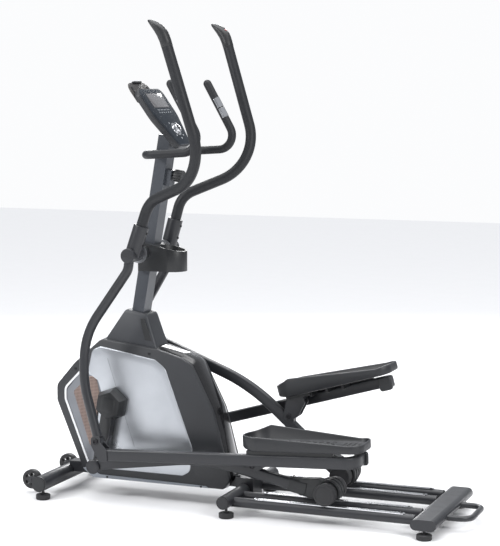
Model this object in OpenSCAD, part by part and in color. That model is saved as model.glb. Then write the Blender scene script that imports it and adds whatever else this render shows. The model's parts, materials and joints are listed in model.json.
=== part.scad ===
// Front-drive elliptical trainer, millimetres, +Z up.
// -X is the console end, +X the rail end, -Y the user's left side.

/* [Crank and linkage] */
// Radius of the crank circle
crank_r = 222; // [200:1:230]
// Angle of the left crank, measured in the X-Z plane from +X towards +Z
crank_phase = 259; // [250:1:268]
// X of the crank axle
crank_x = -501; // [-510:1:-490]
// Height of the crank axle
crank_z = 338; // [330:1:350]
// Distance from the crank pin to the roller axle
roller_arm_l = 890; // [870:1:910]
// Distance along the roller arm from the crank pin to the pedal arm pivot
pivot_along = 612; // [590:1:630]
// Height of the pedal arm pivot above the line from pin to roller axle
pivot_up = 62; // [56:1:70]
// Distance from the handlebar hinge to the roller arm pivot on the pedal arm
pedal_link = 568.6; // [550:1:585]
// Distance from the handlebar shaft down to the pedal arm hinge
bar_drop = 667.7; // [640:1:690]
// Height of the handlebar shaft
shaft_z = 887; // [870:1:910]
// Radius of the rail rollers
roller_r = 38; // [34:1:40]

/* [Base] */
// Distance from the front stabiliser to the middle stabiliser
front_span = 710; // [680:5:740]
// Distance from the middle stabiliser to the rear crossbar
rear_span = 708; // [690:5:760]
// Length of the front stabiliser tube
front_bar_l = 480; // [440:5:560]
// Length of the middle stabiliser tube
middle_bar_l = 476; // [440:5:560]
// Length of the rear crossbar
rear_bar_l = 490; // [450:5:560]
// Outer radius of the front stabiliser tube
front_bar_r = 28; // [25:1:30]
// Outer radius of the middle stabiliser tube
middle_bar_r = 23; // [20:1:26]
// Outer radius of the rail tubes
rail_r = 17; // [14:1:19]
// Height of the running surface of the rails
rail_top = 69.7; // [66:0.1:75]
// Distance from the centre plane to the inner rail
rail_inner_y = 92; // [88:1:94]
// Distance from the centre plane to the outer rail
rail_outer_y = 182; // [178:1:186]
// Radius of the levelling feet
foot_r = 26; // [20:1:30]
// Radius of the transport wheels
wheel_r = 35; // [30:1:40]

/* [Housing] */
// Half width of the drive housing
housing_half_w = 66; // [62:1:70]
// Wall of the housing covers
housing_wall = 4; // [3:0.5:5]
// Depth of each side cover
cover_depth = 16; // [12:1:20]

/* [Mast and console] */
// Depth of the mast tube, front to back
mast_d = 45; // [40:1:50]
// Width of the mast tube, side to side
mast_w = 64; // [56:1:70]
// Backward lean of the mast, degrees
mast_lean = 9.76; // [8:0.1:12]
// Half width of the console
console_half_w = 95; // [85:1:100]
// Height of the console face along its slope
console_l = 245; // [225:1:255]
// Thickness of the console body
console_t = 30; // [26:1:36]
// Radius of the cup well
cup_r = 46; // [38:1:48]
// Distance of the fixed grips from the centre plane
fixed_y = 160; // [150:1:175]

/* [Handlebars and pedals] */
// Radius of the handlebar foam
grip_r = 19; // [17.5:0.5:23]
// Radius of the handlebar steel tube
bar_r = 16; // [12:1:17]
// Radius of the lower arm tube
lower_r = 17; // [14:1:19]
// Distance of the handlebar sleeve from the centre plane
sleeve_y = 150; // [142:1:160]
// Distance of the grip tips from the centre plane
tip_y = 318; // [290:1:330]
// Length of the pedals
pedal_l = 441; // [400:1:460]
// Width of the pedals
pedal_w = 154; // [140:1:160]
// Height of the pedal arm tube
pedal_tube_h = 40; // [34:1:44]
// Width of the pedal arm tube
pedal_tube_w = 30; // [24:1:34]

/* [Hidden] */
$fn = 48;

LEFT = 0;
RIGHT = 1;
run_clear = 0.05;   // radial clearance of every running fit
body_gap = 0.3;     // gap between parts that slide past each other
pin_gap = 0.5;      // how far the crank pin's stud stops short of the crank
joint_step = 0.1;   // how much thinner a bent run is than the straight run it enters
joint_tuck = 2;     // how far a bent run enters a straight one
cut = 1;            // how far a cutter passes its face

// ---- places on the base ----
middle_x = -5;
front_x = middle_x - front_span;
rear_x = middle_x + rear_span;
stabiliser_z = 60;
middle_z = 58;
crossbar_h = 37;
crossbar_w = 88;
crossbar_z = rail_top - 0.7 - crossbar_h / 2;
foot_h = 18;
stem_r = 5;
front_foot_y = front_bar_l / 2 - 28;
middle_foot_y = middle_bar_l / 2 - 29;
rear_foot_y = rear_bar_l / 2 - 17;
wheel_x = front_x - 82;
wheel_z = wheel_r + 16;
wheel_y = 141;
wheel_w = 22;
wheel_pin_r = 5;
strip_t = 3;
rail_z = rail_top - strip_t - rail_r + 1;
strip_start = middle_x + 93;
strip_end = rear_x - 79;
handle_r = 10;
handle_x = rear_x + 119;
handle_y = 92;

// ---- frame inside the housing ----
beam_w = 50;
beam_bottom = 63;
beam_top = 102;
post_x = crank_x + 57;
post_d = 44;
post_top = 540;
shell_r = 40;
bearing_r = 24;
axle_r = 12;
flywheel_x = post_x + 189;
flywheel_z = 236;
flywheel_r = 114;
flywheel_w = 26;
flywheel_axle_r = 8;
plate_t = 6;
pulley_r = 130;
pulley_y = 42;
pulley_w = 14;
small_pulley_r = 18;
belt_t = 3;
brake_gap = 2;

// ---- mast ----
mast_mid_x = -382;
function mast_x(z) = mast_mid_x + (z - shaft_z) * tan(mast_lean);
shaft_x = mast_x(shaft_z);
shaft_r = 12;
shaft_half_l = 189.7;

// ---- linkage, solved in the X-Z plane ----
function turn(a, p) = [p[0] * cos(a) - p[1] * sin(a), p[0] * sin(a) + p[1] * cos(a)];
shaft_pt = [shaft_x, shaft_z];
roller_z = rail_top + body_gap + roller_r;
function crank_a(s) = crank_phase + 180 * s;
function pin_pt(s) = [crank_x, crank_z] + crank_r * [cos(crank_a(s)), sin(crank_a(s))];
function arm_a(s) = -asin((pin_pt(s)[1] - roller_z) / roller_arm_l);
function roller_pt(s) = pin_pt(s) + turn(arm_a(s), [roller_arm_l, 0]);
function link_pt(s) = pin_pt(s) + turn(arm_a(s), [pivot_along, pivot_up]);
function gap_l(s) = norm(link_pt(s) - shaft_pt);
function gap_a(s) = atan2(link_pt(s)[1] - shaft_z, link_pt(s)[0] - shaft_x);
function corner_a(s) = acos((bar_drop ^ 2 + gap_l(s) ^ 2 - pedal_link ^ 2) / (2 * bar_drop * gap_l(s)));
function hinge_pt(s) = shaft_pt + turn(gap_a(s) - corner_a(s), [bar_drop, 0]);
function bar_a(s) = atan2(hinge_pt(s)[0] - shaft_x, shaft_z - hinge_pt(s)[1]);
function link_a(s) = atan2(link_pt(s)[1] - hinge_pt(s)[1], link_pt(s)[0] - hinge_pt(s)[0]);

// ---- side-to-side planes of the linkage, as distances from the centre plane ----
cover_in_y = housing_half_w + 6;
crank_in_y = cover_in_y + 8;
crank_out_y = crank_in_y + 34;
crank_cover_out_y = crank_out_y + 6;
arm_in_y = crank_cover_out_y + 4;
arm_w = 28;
arm_out_y = arm_in_y + arm_w;
arm_h = 38;
hinge_y = 207;
eye_w = 24;
ear_t = 6;
hinge_pin_r = 6;
tube_in_y = hinge_y - pedal_tube_w / 2;
tube_out_y = hinge_y + pedal_tube_w / 2;
pedal_mid_y = 155;

// ---- roller arm outline, in its own frame from the crank pin ----
arm_boss_r = 25;
arm_front_a = 8.7;
arm_rear_a = -10.7;
arm_peak = [435.5, 71.6];
arm_bend_r = 660;
arm_bend_t = arm_bend_r * tan((arm_front_a - arm_rear_a) / 2);
roller_axle_r = 8;
roller_w = 38;
outer_roller_y = rail_outer_y - 14;
inner_roller_y = rail_inner_y - 26;

// ---- pedal arm, in its own frame from the hinge, along the tube ----
tube_pitch = 8.4;
tube_mid = -48.7;
tube_start = 40;
tube_bend_r = 85;
tube_end = 962;
pedal_base = -15;
pedal_start = tube_end - pedal_l + 20;

// ---- handlebar, in its own frame from the shaft; X forward-back, Z up ----
sleeve_dir = 9.3;
sleeve_l = 108;
sleeve_r = 27.5;
barrel_r = 25;
eye_r = 19;
barrel_in_y = 106.3;
barrel_out_y = 194;
bar_low_l = 197.3;
bar_low = [bar_low_l * sin(sleeve_dir), -sleeve_y, bar_low_l * cos(sleeve_dir)];
bar_elbow = [275, -(sleeve_y + 0.71 * (tip_y - sleeve_y)), 340];
bar_tip = [82.5, -(tip_y - 6), 747];
bar_foot = [35 * sin(sleeve_dir), -sleeve_y, 35 * cos(sleeve_dir)];
sleeve_top = [sleeve_l * sin(sleeve_dir), -sleeve_y, sleeve_l * cos(sleeve_dir)];
lower_top = [0, -172, -10];
lower_1 = [3, -174, -52];
lower_2 = [-118, -190, -311];
lower_3 = [-89, -201, -479];
lower_end = [-2, -hinge_y, 8 - bar_drop];
button_r = 7;
button_h = 7;

// ---- console, in its own frame: X down the face, Z out of the face ----
console_top = [mast_mid_x - 2, 0, 1467];
console_tilt = 54.1;
face_t = 6;
screen_top = 26;
screen_l = 58;
screen_half_w = 63;
knob_down = 178;
knob_r = 17;
knob_h = 12;
knob_pin_r = 4;
slot_floor = 12;
slot_half_w = 78;

// ---- general helpers ----
function unit(v) = v / norm(v);
function bend_turn(p, q, s) = acos(unit(q - p) * unit(s - q));
function bend_reach(p, q, s, r) = r * tan(bend_turn(p, q, s) / 2);

module rod(p, q, r) {
    v = q - p;
    translate(p)
        rotate([0, acos(v[2] / norm(v)), atan2(v[1], v[0])])
            cylinder(h = norm(v), r = r);
}

// An elbow of tube radius r and bend radius bend_r at corner q of the path p, q, s.
// It is a hair thinner than the straight runs and its ends sit inside them.
module elbow(p, q, s, bend_r, r) {
    a = unit(q - p);
    b = unit(s - q);
    inward = unit(b - (a * b) * a);
    start = q - bend_reach(p, q, s, bend_r) * a;
    across = -inward;
    normal = cross(across, a);
    tuck = joint_tuck / bend_r * 57.3;
    translate(start + bend_r * inward)
        rotate([atan2(a[2], normal[2]), -asin(across[2]), atan2(across[1], across[0])])
            rotate([0, 0, -tuck])
                rotate_extrude(angle = bend_turn(p, q, s) + 2 * tuck)
                    translate([bend_r, 0])
                        circle(r = r - joint_step);
}

// A round tube or bar along a path; bends[i] is the bend radius at inner corner i + 1
module bent_bar(path, bends, r) {
    last = len(path) - 1;
    function reach(i) =
        (i == 0 || i == last) ? 0 : bend_reach(path[i - 1], path[i], path[i + 1], bends[i - 1]);
    for (i = [0 : last - 1]) {
        along = unit(path[i + 1] - path[i]);
        rod(path[i] + reach(i) * along, path[i + 1] - reach(i + 1) * along, r);
    }
    for (i = [1 : last - 1])
        elbow(path[i - 1], path[i], path[i + 1], bends[i - 1], r);
}

// A disc or bar across the machine from y0 to y1 at a point of the X-Z plane
module across(p, r, y0, y1) {
    translate([p[0], y1, p[1]])
        rotate([90, 0, 0])
            cylinder(h = y1 - y0, r = r);
}

// A flat X-Z outline made y1 - y0 thick
module slab(y0, y1) {
    translate([0, y1, 0])
        rotate([90, 0, 0])
            linear_extrude(y1 - y0)
                children();
}

module box(lo, hi) {
    translate(lo)
        cube(hi - lo);
}

module both_sides() {
    children();
    mirror([0, 1, 0])
        children();
}

// Things are drawn for the left side and mirrored for the right
module on_side(s) {
    mirror([0, s, 0])
        children();
}

module in_frame(p, a) {
    translate([p[0], 0, p[1]])
        rotate([0, -a, 0])
            children();
}

module bar_frame(s) {
    on_side(s)
        in_frame(shaft_pt, bar_a(s))
            children();
}

module pedal_frame(s) {
    on_side(s)
        in_frame(hinge_pt(s), link_a(s) + tube_pitch)
            children();
}

module arm_frame(s) {
    on_side(s)
        in_frame(pin_pt(s), arm_a(s))
            children();
}

module console_frame() {
    translate(console_top)
        rotate([0, console_tilt, 0])
            children();
}

module round_rect(l, w, r) {
    for (x = [r, l - r], y = [r - w / 2, w / 2 - r])
        translate([x, y])
            circle(r = r);
    translate([r, -w / 2])
        square([l - 2 * r, w]);
    translate([0, r - w / 2])
        square([l, w - 2 * r]);
}

// ---- base ----
module main_frame() {
    color("#2b2e33")
        difference() {
            union() {
                box([front_x + 10, -beam_w / 2, beam_bottom], [middle_x - 32, beam_w / 2, beam_top]);
                box([post_x - post_d / 2, -mast_w / 2, beam_top], [post_x + post_d / 2, mast_w / 2, post_top]);
                across([crank_x, crank_z], shell_r, -pulley_y + 4, pulley_y - 4);
                both_sides()
                    axle_plate();
            }
            across([front_x, stabiliser_z], front_bar_r, -beam_w, beam_w);
            across([crank_x, crank_z], bearing_r, -pulley_y, pulley_y);
            across([flywheel_x, flywheel_z], flywheel_axle_r + run_clear, -beam_w, beam_w);
        }
}

module axle_plate() {
    slab(beam_w / 2, beam_w / 2 + plate_t) {
        translate([flywheel_x - 35, beam_bottom])
            square([70, flywheel_z - beam_bottom]);
        translate([flywheel_x, flywheel_z])
            circle(r = 35);
    }
}

module front_stabiliser() {
    color("#25272b")
        difference() {
            union() {
                across([front_x, stabiliser_z], front_bar_r, -front_bar_l / 2, front_bar_l / 2);
                both_sides()
                    for (y = [wheel_y - wheel_w / 2 - 6, wheel_y + wheel_w / 2 + 2])
                        wheel_ear(y);
                both_sides()
                    across([wheel_x, wheel_z], wheel_pin_r, wheel_y - wheel_w / 2 - 8, wheel_y + wheel_w / 2 + 8);
            }
            both_sides()
                foot_hole(front_x, front_foot_y, stabiliser_z);
        }
}

module wheel_ear(y) {
    slab(y, y + 4) {
        translate([wheel_x, wheel_z])
            circle(r = 12);
        translate([wheel_x, wheel_z - 12])
            square([front_x - wheel_x - front_bar_r + 4, 24]);
    }
}

module foot_hole(x, y, top) {
    translate([x, y, 0])
        cylinder(h = top, r = stem_r + run_clear);
}

module foot(x, y, top) {
    color("#141517")
        translate([x, y, 0]) {
            cylinder(h = 3, r1 = foot_r - 2, r2 = foot_r);
            translate([0, 0, 3])
                cylinder(h = foot_h - 5, r = foot_r);
            translate([0, 0, foot_h - 2])
                cylinder(h = 2, r1 = foot_r, r2 = foot_r - 3);
            translate([0, 0, foot_h])
                cylinder(h = 4, r = 10);
            translate([0, 0, foot_h + 4])
                cylinder(h = top - foot_h - 4 - 2, r = stem_r);
        }
}

module middle_stabiliser() {
    color("#25272b")
        difference() {
            across([middle_x, middle_z], middle_bar_r, -middle_bar_l / 2, middle_bar_l / 2);
            both_sides()
                foot_hole(middle_x, middle_foot_y, middle_z);
        }
}

module stabiliser_caps() {
    color("#1b1c1f")
        both_sides() {
            end_cap([front_x, stabiliser_z], front_bar_r, front_bar_l / 2);
            end_cap([middle_x, middle_z], middle_bar_r, middle_bar_l / 2);
        }
}

module end_cap(p, r, y) {
    across(p, r, y, y + 5);
    across(p, r - 4, y + 5, y + 7);
}

module rail_tubes() {
    color("#25272b")
        both_sides()
            for (y = [rail_inner_y, rail_outer_y])
                difference() {
                    translate([middle_x, y, rail_z])
                        rotate([0, 90, 0])
                            cylinder(h = rear_x - crossbar_w / 2 - middle_x, r = rail_r);
                    across([middle_x, middle_z], middle_bar_r, -middle_bar_l, middle_bar_l);
                    box([strip_start, y - rail_r, rail_top - strip_t], [strip_end, y + rail_r, rail_top + cut]);
                }
}

module rail_strips() {
    color("#d7dade")
        both_sides()
            for (y = [rail_inner_y, rail_outer_y])
                translate([strip_start, y, rail_top - strip_t])
                    linear_extrude(strip_t)
                        round_rect(strip_end - strip_start, 18, 8);
}

module crossbar_outline() {
    round_end = crossbar_h / 2;
    translate([-crossbar_w / 2 + round_end, 0])
        circle(r = round_end);
    translate([crossbar_w / 2 - round_end, 0])
        circle(r = round_end);
    translate([-crossbar_w / 2 + round_end, -round_end])
        square([crossbar_w - 2 * round_end, crossbar_h]);
}

module rear_crossbar() {
    color("#25272b")
        difference() {
            union() {
                translate([rear_x, 0, crossbar_z])
                    slab(-rear_bar_l / 2, rear_bar_l / 2)
                        crossbar_outline();
                carry_handle();
            }
            both_sides()
                foot_hole(rear_x, rear_foot_y, crossbar_z);
        }
}

module carry_handle() {
    root_x = rear_x + crossbar_w / 2 - 8;
    z = crossbar_z - 6;
    bent_bar([[root_x, -handle_y, z], [handle_x, -handle_y, z], [handle_x, handle_y, z], [root_x, handle_y, z]],
             [38, 38], handle_r);
}

module rail_clamp() {
    color("#1e2024") {
        difference() {
            box([middle_x - 32, -44, middle_z - 30], [middle_x + 34, 44, beam_top]);
            across([middle_x, middle_z], middle_bar_r, -60, 60);
        }
        for (x = [middle_x - 26, middle_x + 27], y = [-32, 32])
            translate([x, y, beam_top])
                cylinder(h = 6, r = 6);
    }
}

// ---- drive housing ----
nose_top = [-733, 392];
nose_low = [-733, 334];
chin = [-630, 88];
chin_low = [-586, 58];
heel_low = [-76, 58];
heel = [-50, 92];
back_mid = [-113, 331];
back_hip = [-150, 404];
shoulder = [-198, 498];
shoulder_top = [-240, 518];
boot_rear = [-333, 544];
boot_front = [-551, 570];
brow = [-660, 476];

module housing_outline() {
    polygon([nose_top, nose_low, chin, chin_low, heel_low, heel, back_mid, back_hip,
             shoulder, shoulder_top, boot_rear, boot_front, brow]);
}

// The housing outline moved inwards by d, near enough for a wall
module housing_inset(d) {
    middle = [-390, 300];
    k = 1 - d / 215;
    translate(middle)
        scale([k, k])
            translate(-middle)
                housing_outline();
}

module side_cover() {
    difference() {
        slab(-housing_half_w, cover_depth - housing_half_w)
            housing_outline();
        slab(housing_wall - housing_half_w, cover_depth - housing_half_w + cut)
            housing_inset(housing_wall);
        across([crank_x, crank_z], axle_r + 8, -housing_half_w - cut, -housing_half_w + housing_wall + cut);
        slab(-housing_half_w - cut, 1.6 - housing_half_w)
            panel_outline();
        slab(-housing_half_w - cut, 1.6 - housing_half_w)
            mesh_outline();
        box([front_x, -beam_w / 2 - cut, 0], [nose_low[0] + 200, 0, beam_top + cut]);
    }
}

module left_cover() {
    color("#3a3e44")
        side_cover();
}

module right_cover() {
    color("#3a3e44")
        mirror([0, 1, 0])
            side_cover();
}

module panel_outline() {
    polygon([[-586, 528], [-552, 542], [-336, 506], [-298, 478], [-193, 196], [-205, 112], [-232, 95],
             [-572, 95], [-560, 300], [-548, 372], [-572, 430], [-625, 446]]);
}

module mesh_outline() {
    polygon([[-640, 441], [-627, 444], [-574, 428], [-550, 371], [-562, 300], [-574, 95],
             [-600, 105], [-692, 342], [-694, 376]]);
}

module side_panels() {
    color("#c3c7cf")
        both_sides()
            slab(-housing_half_w, 1.6 - housing_half_w)
                difference() {
                    panel_outline();
                    translate([crank_x, crank_z])
                        circle(r = axle_r + 8);
                }
}

module mesh_inserts() {
    color("#8d7467")
        both_sides()
            slab(-housing_half_w, 1.6 - housing_half_w)
                difference() {
                    mesh_outline();
                    panel_outline();
                }
}

module spine_cover() {
    inner_y = housing_half_w - cover_depth;
    color("#101113")
        difference() {
            slab(-inner_y, inner_y)
                difference() {
                    housing_outline();
                    housing_inset(housing_wall);
                }
            box([front_x, -beam_w / 2 - cut, 0], [-560, beam_w / 2 + cut, beam_top + cut]);
            box([-120, -beam_w / 2 - cut, beam_bottom - 8], [0, beam_w / 2 + cut, beam_top + cut]);
            box([mast_x(post_top) - 40, -mast_w / 2 - cut, 500],
                [mast_x(post_top) + 40, mast_w / 2 + cut, 600]);
        }
}

module base_trims() {
    color("#8b8f96")
        both_sides()
            slab(-housing_half_w - 1.5, -housing_half_w)
                polygon([[-628, 90], [-588, 59], [-130, 59], [-142, 66], [-560, 72], [-612, 96]]);
}

module screws() {
    color("#1a1b1e") {
        both_sides() {
            for (p = [[-530, 65], [-160, 62], [-360, 527], [-655, 455]])
                across(p, 4, -housing_half_w - 3, -housing_half_w - (p[1] < 70 ? 1.5 : 0));
            for (y = [rail_inner_y, rail_outer_y], x = [strip_start + 12, strip_end - 12])
                translate([x, y, rail_top])
                    cylinder(h = 1.6, r = 4);
        }
        for (z = [1185, 1210], y = [-16, 16])
            translate([mast_x(z) - mast_d / 2 / cos(mast_lean), y, z])
                rotate([0, mast_lean - 90, 0])
                    cylinder(h = 5, r = 5);
    }
}

// ---- mast ----
collar_z = 1156;
collar_t = 20;
knob_z = 1168;
knob_stem_r = 5;

module mast_boot() {
    color("#393c42")
        difference() {
            slab(-50, 50)
                polygon([[-541, 571], [-461, 678], [-379, 664], [-334, 546]]);
            mast_body(0);
            slab(-51, 51)
                housing_outline();
            slab(-46, 46)
                polygon([[-524, 560], [-452, 668], [-388, 656], [-350, 540]]);
        }
}

module mast_body(grow) {
    half_d = mast_d / 2 + grow;
    half_w = mast_w / 2 + grow;
    translate([mast_mid_x, 0, shaft_z])
        rotate([0, mast_lean, 0])
            box([-half_d, -half_w, -420], [half_d, half_w, 420]);
}

module mast() {
    color("#4a4f57") {
        difference() {
            mast_body(0);
            box([-600, -100, 0], [-300, 100, post_top]);
            across(shaft_pt, shaft_r, -100, 100);
            console_frame()
                box([-60, -100, -console_t], [300, 100, 100]);
            fixed_path(fixed_r);
        }
        difference() {
            translate([mast_x(collar_z), 0, collar_z])
                rotate([0, mast_lean, 0])
                    box([mast_d / 2, -22, -28], [mast_d / 2 + collar_t, 22, 28]);
            knob_axis()
                cylinder(h = 60, r = knob_stem_r + run_clear, center = true);
        }
    }
}

module knob_axis() {
    translate([mast_x(knob_z), 0, knob_z])
        rotate([0, 90 + mast_lean, 0])
            translate([0, 0, mast_d / 2 + collar_t])
                children();
}

module clamp_knob() {
    color("#141517")
        knob_axis() {
            translate([0, 0, -19.5])
                cylinder(h = 21, r = knob_stem_r);
            translate([0, 0, body_gap])
                cylinder(h = 8, r = 12);
            difference() {
                translate([0, 0, 8])
                    cylinder(h = 30, r = 22);
                for (i = [0 : 11])
                    rotate([0, 0, 30 * i])
                        translate([24, 0, 0])
                            cylinder(h = 50, r = 4);
            }
        }
}

// ---- fixed handlebar ----
fixed_r = 12.5;
foam_r = 14.7;
fixed_top = [-228, -fixed_y, 1481];
fixed_elbow = [-99, -fixed_y, 1252];
fixed_corner = [-338, -fixed_y, 1236];
function flip(p) = [p[0], -p[1], p[2]];
fixed_arm = unit(fixed_elbow - fixed_top);
plate_start = 62;
plate_l = 76;

module fixed_path(r) {
    bent_bar([fixed_top, fixed_elbow, fixed_corner, flip(fixed_corner), flip(fixed_elbow), flip(fixed_top)],
             [52, 45, 45, 52], r);
}

module fixed_handlebar() {
    color("#26282c")
        fixed_path(fixed_r);
}

module fixed_grips() {
    color("#17181a")
        difference() {
            union() {
                fixed_path(foam_r);
                both_sides()
                    translate(fixed_top)
                        sphere(r = foam_r - joint_step);
            }
            fixed_path(fixed_r);
            box([-400, -mast_w / 2 - cut, 1100], [-300, mast_w / 2 + cut, 1400]);
            both_sides()
                rod(fixed_top + plate_start * fixed_arm, fixed_top + (plate_start + plate_l) * fixed_arm,
                    foam_r + cut);
        }
}

module pulse_plates() {
    from = fixed_top + plate_start * fixed_arm;
    to = from + plate_l * fixed_arm;
    color("#dfe2e6")
        both_sides()
            for (side = [0, 1])
                difference() {
                    rod(from, to, foam_r + 0.6);
                    rod(from - cut * fixed_arm, to + cut * fixed_arm, fixed_r);
                    translate(from)
                        rotate([0, 90 + atan2(-fixed_arm[2], fixed_arm[0]), 0])
                            translate([side * 40 - 39, -30, -cut])
                                cube([38 + 2, 60, plate_l + 2 * cut]);
                }
}

// ---- console ----
module console_outline(inset) {
    wide = console_half_w - inset;
    narrow = 55 - inset;
    r = 16;
    difference() {
        translate([inset, 0])
            round_rect(console_l - 2 * inset, 2 * wide, r);
        for (k = [-1, 1])
            polygon([[120, k * (wide + cut)], [console_l - 2 * inset - 18, k * narrow],
                     [console_l + 10, k * narrow * 0.82], [console_l + 10, k * (wide + cut)]]);
    }
}

module console_shell() {
    color("#34373d")
        difference() {
            console_frame()
                translate([0, 0, -console_t])
                    linear_extrude(console_t - face_t)
                        console_outline(0);
            console_frame()
                box([-cut, -slot_half_w, -console_t - cut], [slot_floor, slot_half_w, -face_t + cut]);
        }
}

module console_face() {
    color("#2c3138")
        console_frame()
            difference() {
                translate([0, 0, -face_t])
                    linear_extrude(face_t)
                        console_outline(2);
                box([screen_top, -screen_half_w, -3], [screen_top + screen_l, screen_half_w, cut]);
                translate([knob_down, 0, -face_t - cut])
                    cylinder(h = 20, r = knob_pin_r + run_clear);
            }
}

module console_screen() {
    color("#6d7076")
        console_frame()
            box([screen_top, -screen_half_w, -3], [screen_top + screen_l, screen_half_w, 0]);
}

module console_knob() {
    color("#e2e4e8")
        console_frame()
            translate([knob_down, 0, 0]) {
                translate([0, 0, -face_t + body_gap])
                    cylinder(h = face_t, r = knob_pin_r);
                translate([0, 0, body_gap])
                    cylinder(h = knob_h - 3, r = knob_r);
                translate([0, 0, body_gap + knob_h - 3])
                    cylinder(h = 3, r1 = knob_r, r2 = knob_r - 3);
            }
}

module tablet_holder() {
    color("#4b4744")
        console_frame() {
            box([-44, -slot_half_w, -console_t - 4], [40, slot_half_w, -console_t]);
            for (y = [-60, 36])
                box([-44, y, -console_t], [-38, y + 24, -console_t + 6]);
        }
}

// ---- cup holder and handlebar shaft ----
cup_x = mast_mid_x + 86;
cup_wall = 6;
shroud_low = 820;
shroud_high = 922;
spacer_r = 22;

module cup_holder() {
    out_r = cup_r + cup_wall;
    color("#1e2023")
        difference() {
            translate([0, 0, shroud_low])
                linear_extrude(shroud_high - shroud_low) {
                    translate([cup_x, 0])
                        circle(r = out_r);
                    translate([cup_x - 112, -out_r])
                        square([112, 2 * out_r]);
                }
            translate([cup_x, 0, shroud_low + cup_wall])
                cylinder(h = 200, r = cup_r);
            translate([cup_x + out_r, 0, 891])
                rotate([0, 11.6, 0])
                    box([-300, -80, 0], [20, 80, 120]);
            mast_body(0);
            across(shaft_pt, spacer_r, -80, 80);
        }
}

module pivot_shaft() {
    color("#55585e") {
        across(shaft_pt, shaft_r, -shaft_half_l, shaft_half_l);
        both_sides() {
            across(shaft_pt, spacer_r, mast_w / 2, 100);
            across(shaft_pt, 33, 100, barrel_in_y - body_gap);
        }
    }
}

// ---- drive ----
module bearings() {
    color("#b9bcc2")
        both_sides()
            difference() {
                across([crank_x, crank_z], bearing_r, -pulley_y + 4, -pulley_y + 18);
                across([crank_x, crank_z], axle_r + run_clear, -pulley_y, 0);
            }
}

module crank_axle() {
    color("#8f9298")
        across([crank_x, crank_z], axle_r, -crank_out_y, crank_out_y);
}

module drive_pulley() {
    color("#2a2c30")
        difference() {
            union() {
                across([crank_x, crank_z], pulley_r, pulley_y, pulley_y + pulley_w);
                across([crank_x, crank_z], 30, pulley_y - 3.7, pulley_y + pulley_w);
            }
            across([crank_x, crank_z], axle_r, 0, 100);
            for (i = [0 : 5])
                translate([crank_x, 0, crank_z])
                    rotate([0, 60 * i, 0])
                        across([80, 0], 30, 0, 100);
        }
}

module flywheel() {
    color("#6f7378")
        difference() {
            union() {
                across([flywheel_x, flywheel_z], flywheel_r, -flywheel_w / 2, flywheel_w / 2);
                across([flywheel_x, flywheel_z], 22, -beam_w / 2 + body_gap, beam_w / 2 - body_gap);
                across([flywheel_x, flywheel_z], flywheel_axle_r, -beam_w / 2 - 8, pulley_y + pulley_w);
                across([flywheel_x, flywheel_z], small_pulley_r, pulley_y, pulley_y + pulley_w);
            }
            for (k = [-1, 1])
                slab(k * 15 - 6, k * 15 + 6)
                    translate([flywheel_x, flywheel_z])
                        difference() {
                            circle(r = flywheel_r - 24);
                            circle(r = 34);
                        }
        }
}

belt_span = norm([flywheel_x - crank_x, flywheel_z - crank_z]);
belt_a = atan2(flywheel_z - crank_z, flywheel_x - crank_x);

belt_lean = acos((pulley_r - small_pulley_r) / belt_span);
belt_w = pulley_w - 2;

// A wrap of the belt round a pulley of radius r, from angle a over the given sweep
module belt_wrap(r, a, sweep) {
    tuck = belt_t / 2 / r * 57.3;
    rotate([90, 0, 0])
        rotate([0, 0, a - tuck])
            rotate_extrude(angle = sweep + 2 * tuck)
                translate([r + body_gap + joint_step, -belt_w / 2 + joint_step])
                    square([belt_t - 2 * joint_step, belt_w - 2 * joint_step]);
}

module drive_belt() {
    run = (pulley_r - small_pulley_r) * tan(belt_lean);
    color("#0f1011")
        translate([crank_x, pulley_y + pulley_w / 2, crank_z])
            rotate([0, -belt_a, 0]) {
                belt_wrap(pulley_r, belt_lean, 360 - 2 * belt_lean);
                translate([belt_span, 0, 0])
                    belt_wrap(small_pulley_r, -belt_lean, 2 * belt_lean);
                for (k = [-1, 1])
                    rotate([0, k * (90 - belt_lean), 0])
                        translate([0, -belt_w / 2, k * (pulley_r + body_gap) - (k < 0 ? belt_t : 0)])
                            cube([run, belt_w, belt_t]);
            }
}

// The coil and magnets hang over the top of the flywheel rim on a bracket from the post
brake_in = flywheel_r + brake_gap;
brake_t = 9;
brake_a = 66;
brake_sweep = 58;

module magnet_brake() {
    arm_z = flywheel_z + brake_in * sin(brake_a + brake_sweep) - 2;
    color("#7a7d83")
        difference() {
            union() {
                translate([flywheel_x, 12, flywheel_z])
                    rotate([90, 0, 0])
                        rotate([0, 0, brake_a])
                            rotate_extrude(angle = brake_sweep)
                                translate([brake_in, 0])
                                    square([brake_t, 24]);
                box([post_x + post_d / 2, -10, arm_z], [flywheel_x - 56, 10, arm_z + 14]);
            }
            across([flywheel_x, flywheel_z], brake_in, -20, 20);
        }
}

// ---- cranks ----
module crank_outline(grow) {
    run = crank_r;
    circle(r = 32 + grow);
    translate([run, 0])
        circle(r = 22 + grow);
    translate([0, -22 - grow])
        square([run, 44 + 2 * grow]);
}

module crank_place(s) {
    translate([crank_x, 0, crank_z])
        rotate([0, -crank_a(s), 0])
            on_side(s)
                children();
}

module crank_arms() {
    color("#1c1d20")
        for (s = [LEFT, RIGHT])
            crank_place(s)
                difference() {
                    slab(-crank_out_y, -crank_in_y)
                        crank_outline(0);
                    across([0, 0], axle_r, -crank_out_y - cut, 0);
                }
}

module cover_outline(r) {
    circle(r = r, $fn = 6);
    translate([0, -24])
        square([128, 48]);
}

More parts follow.
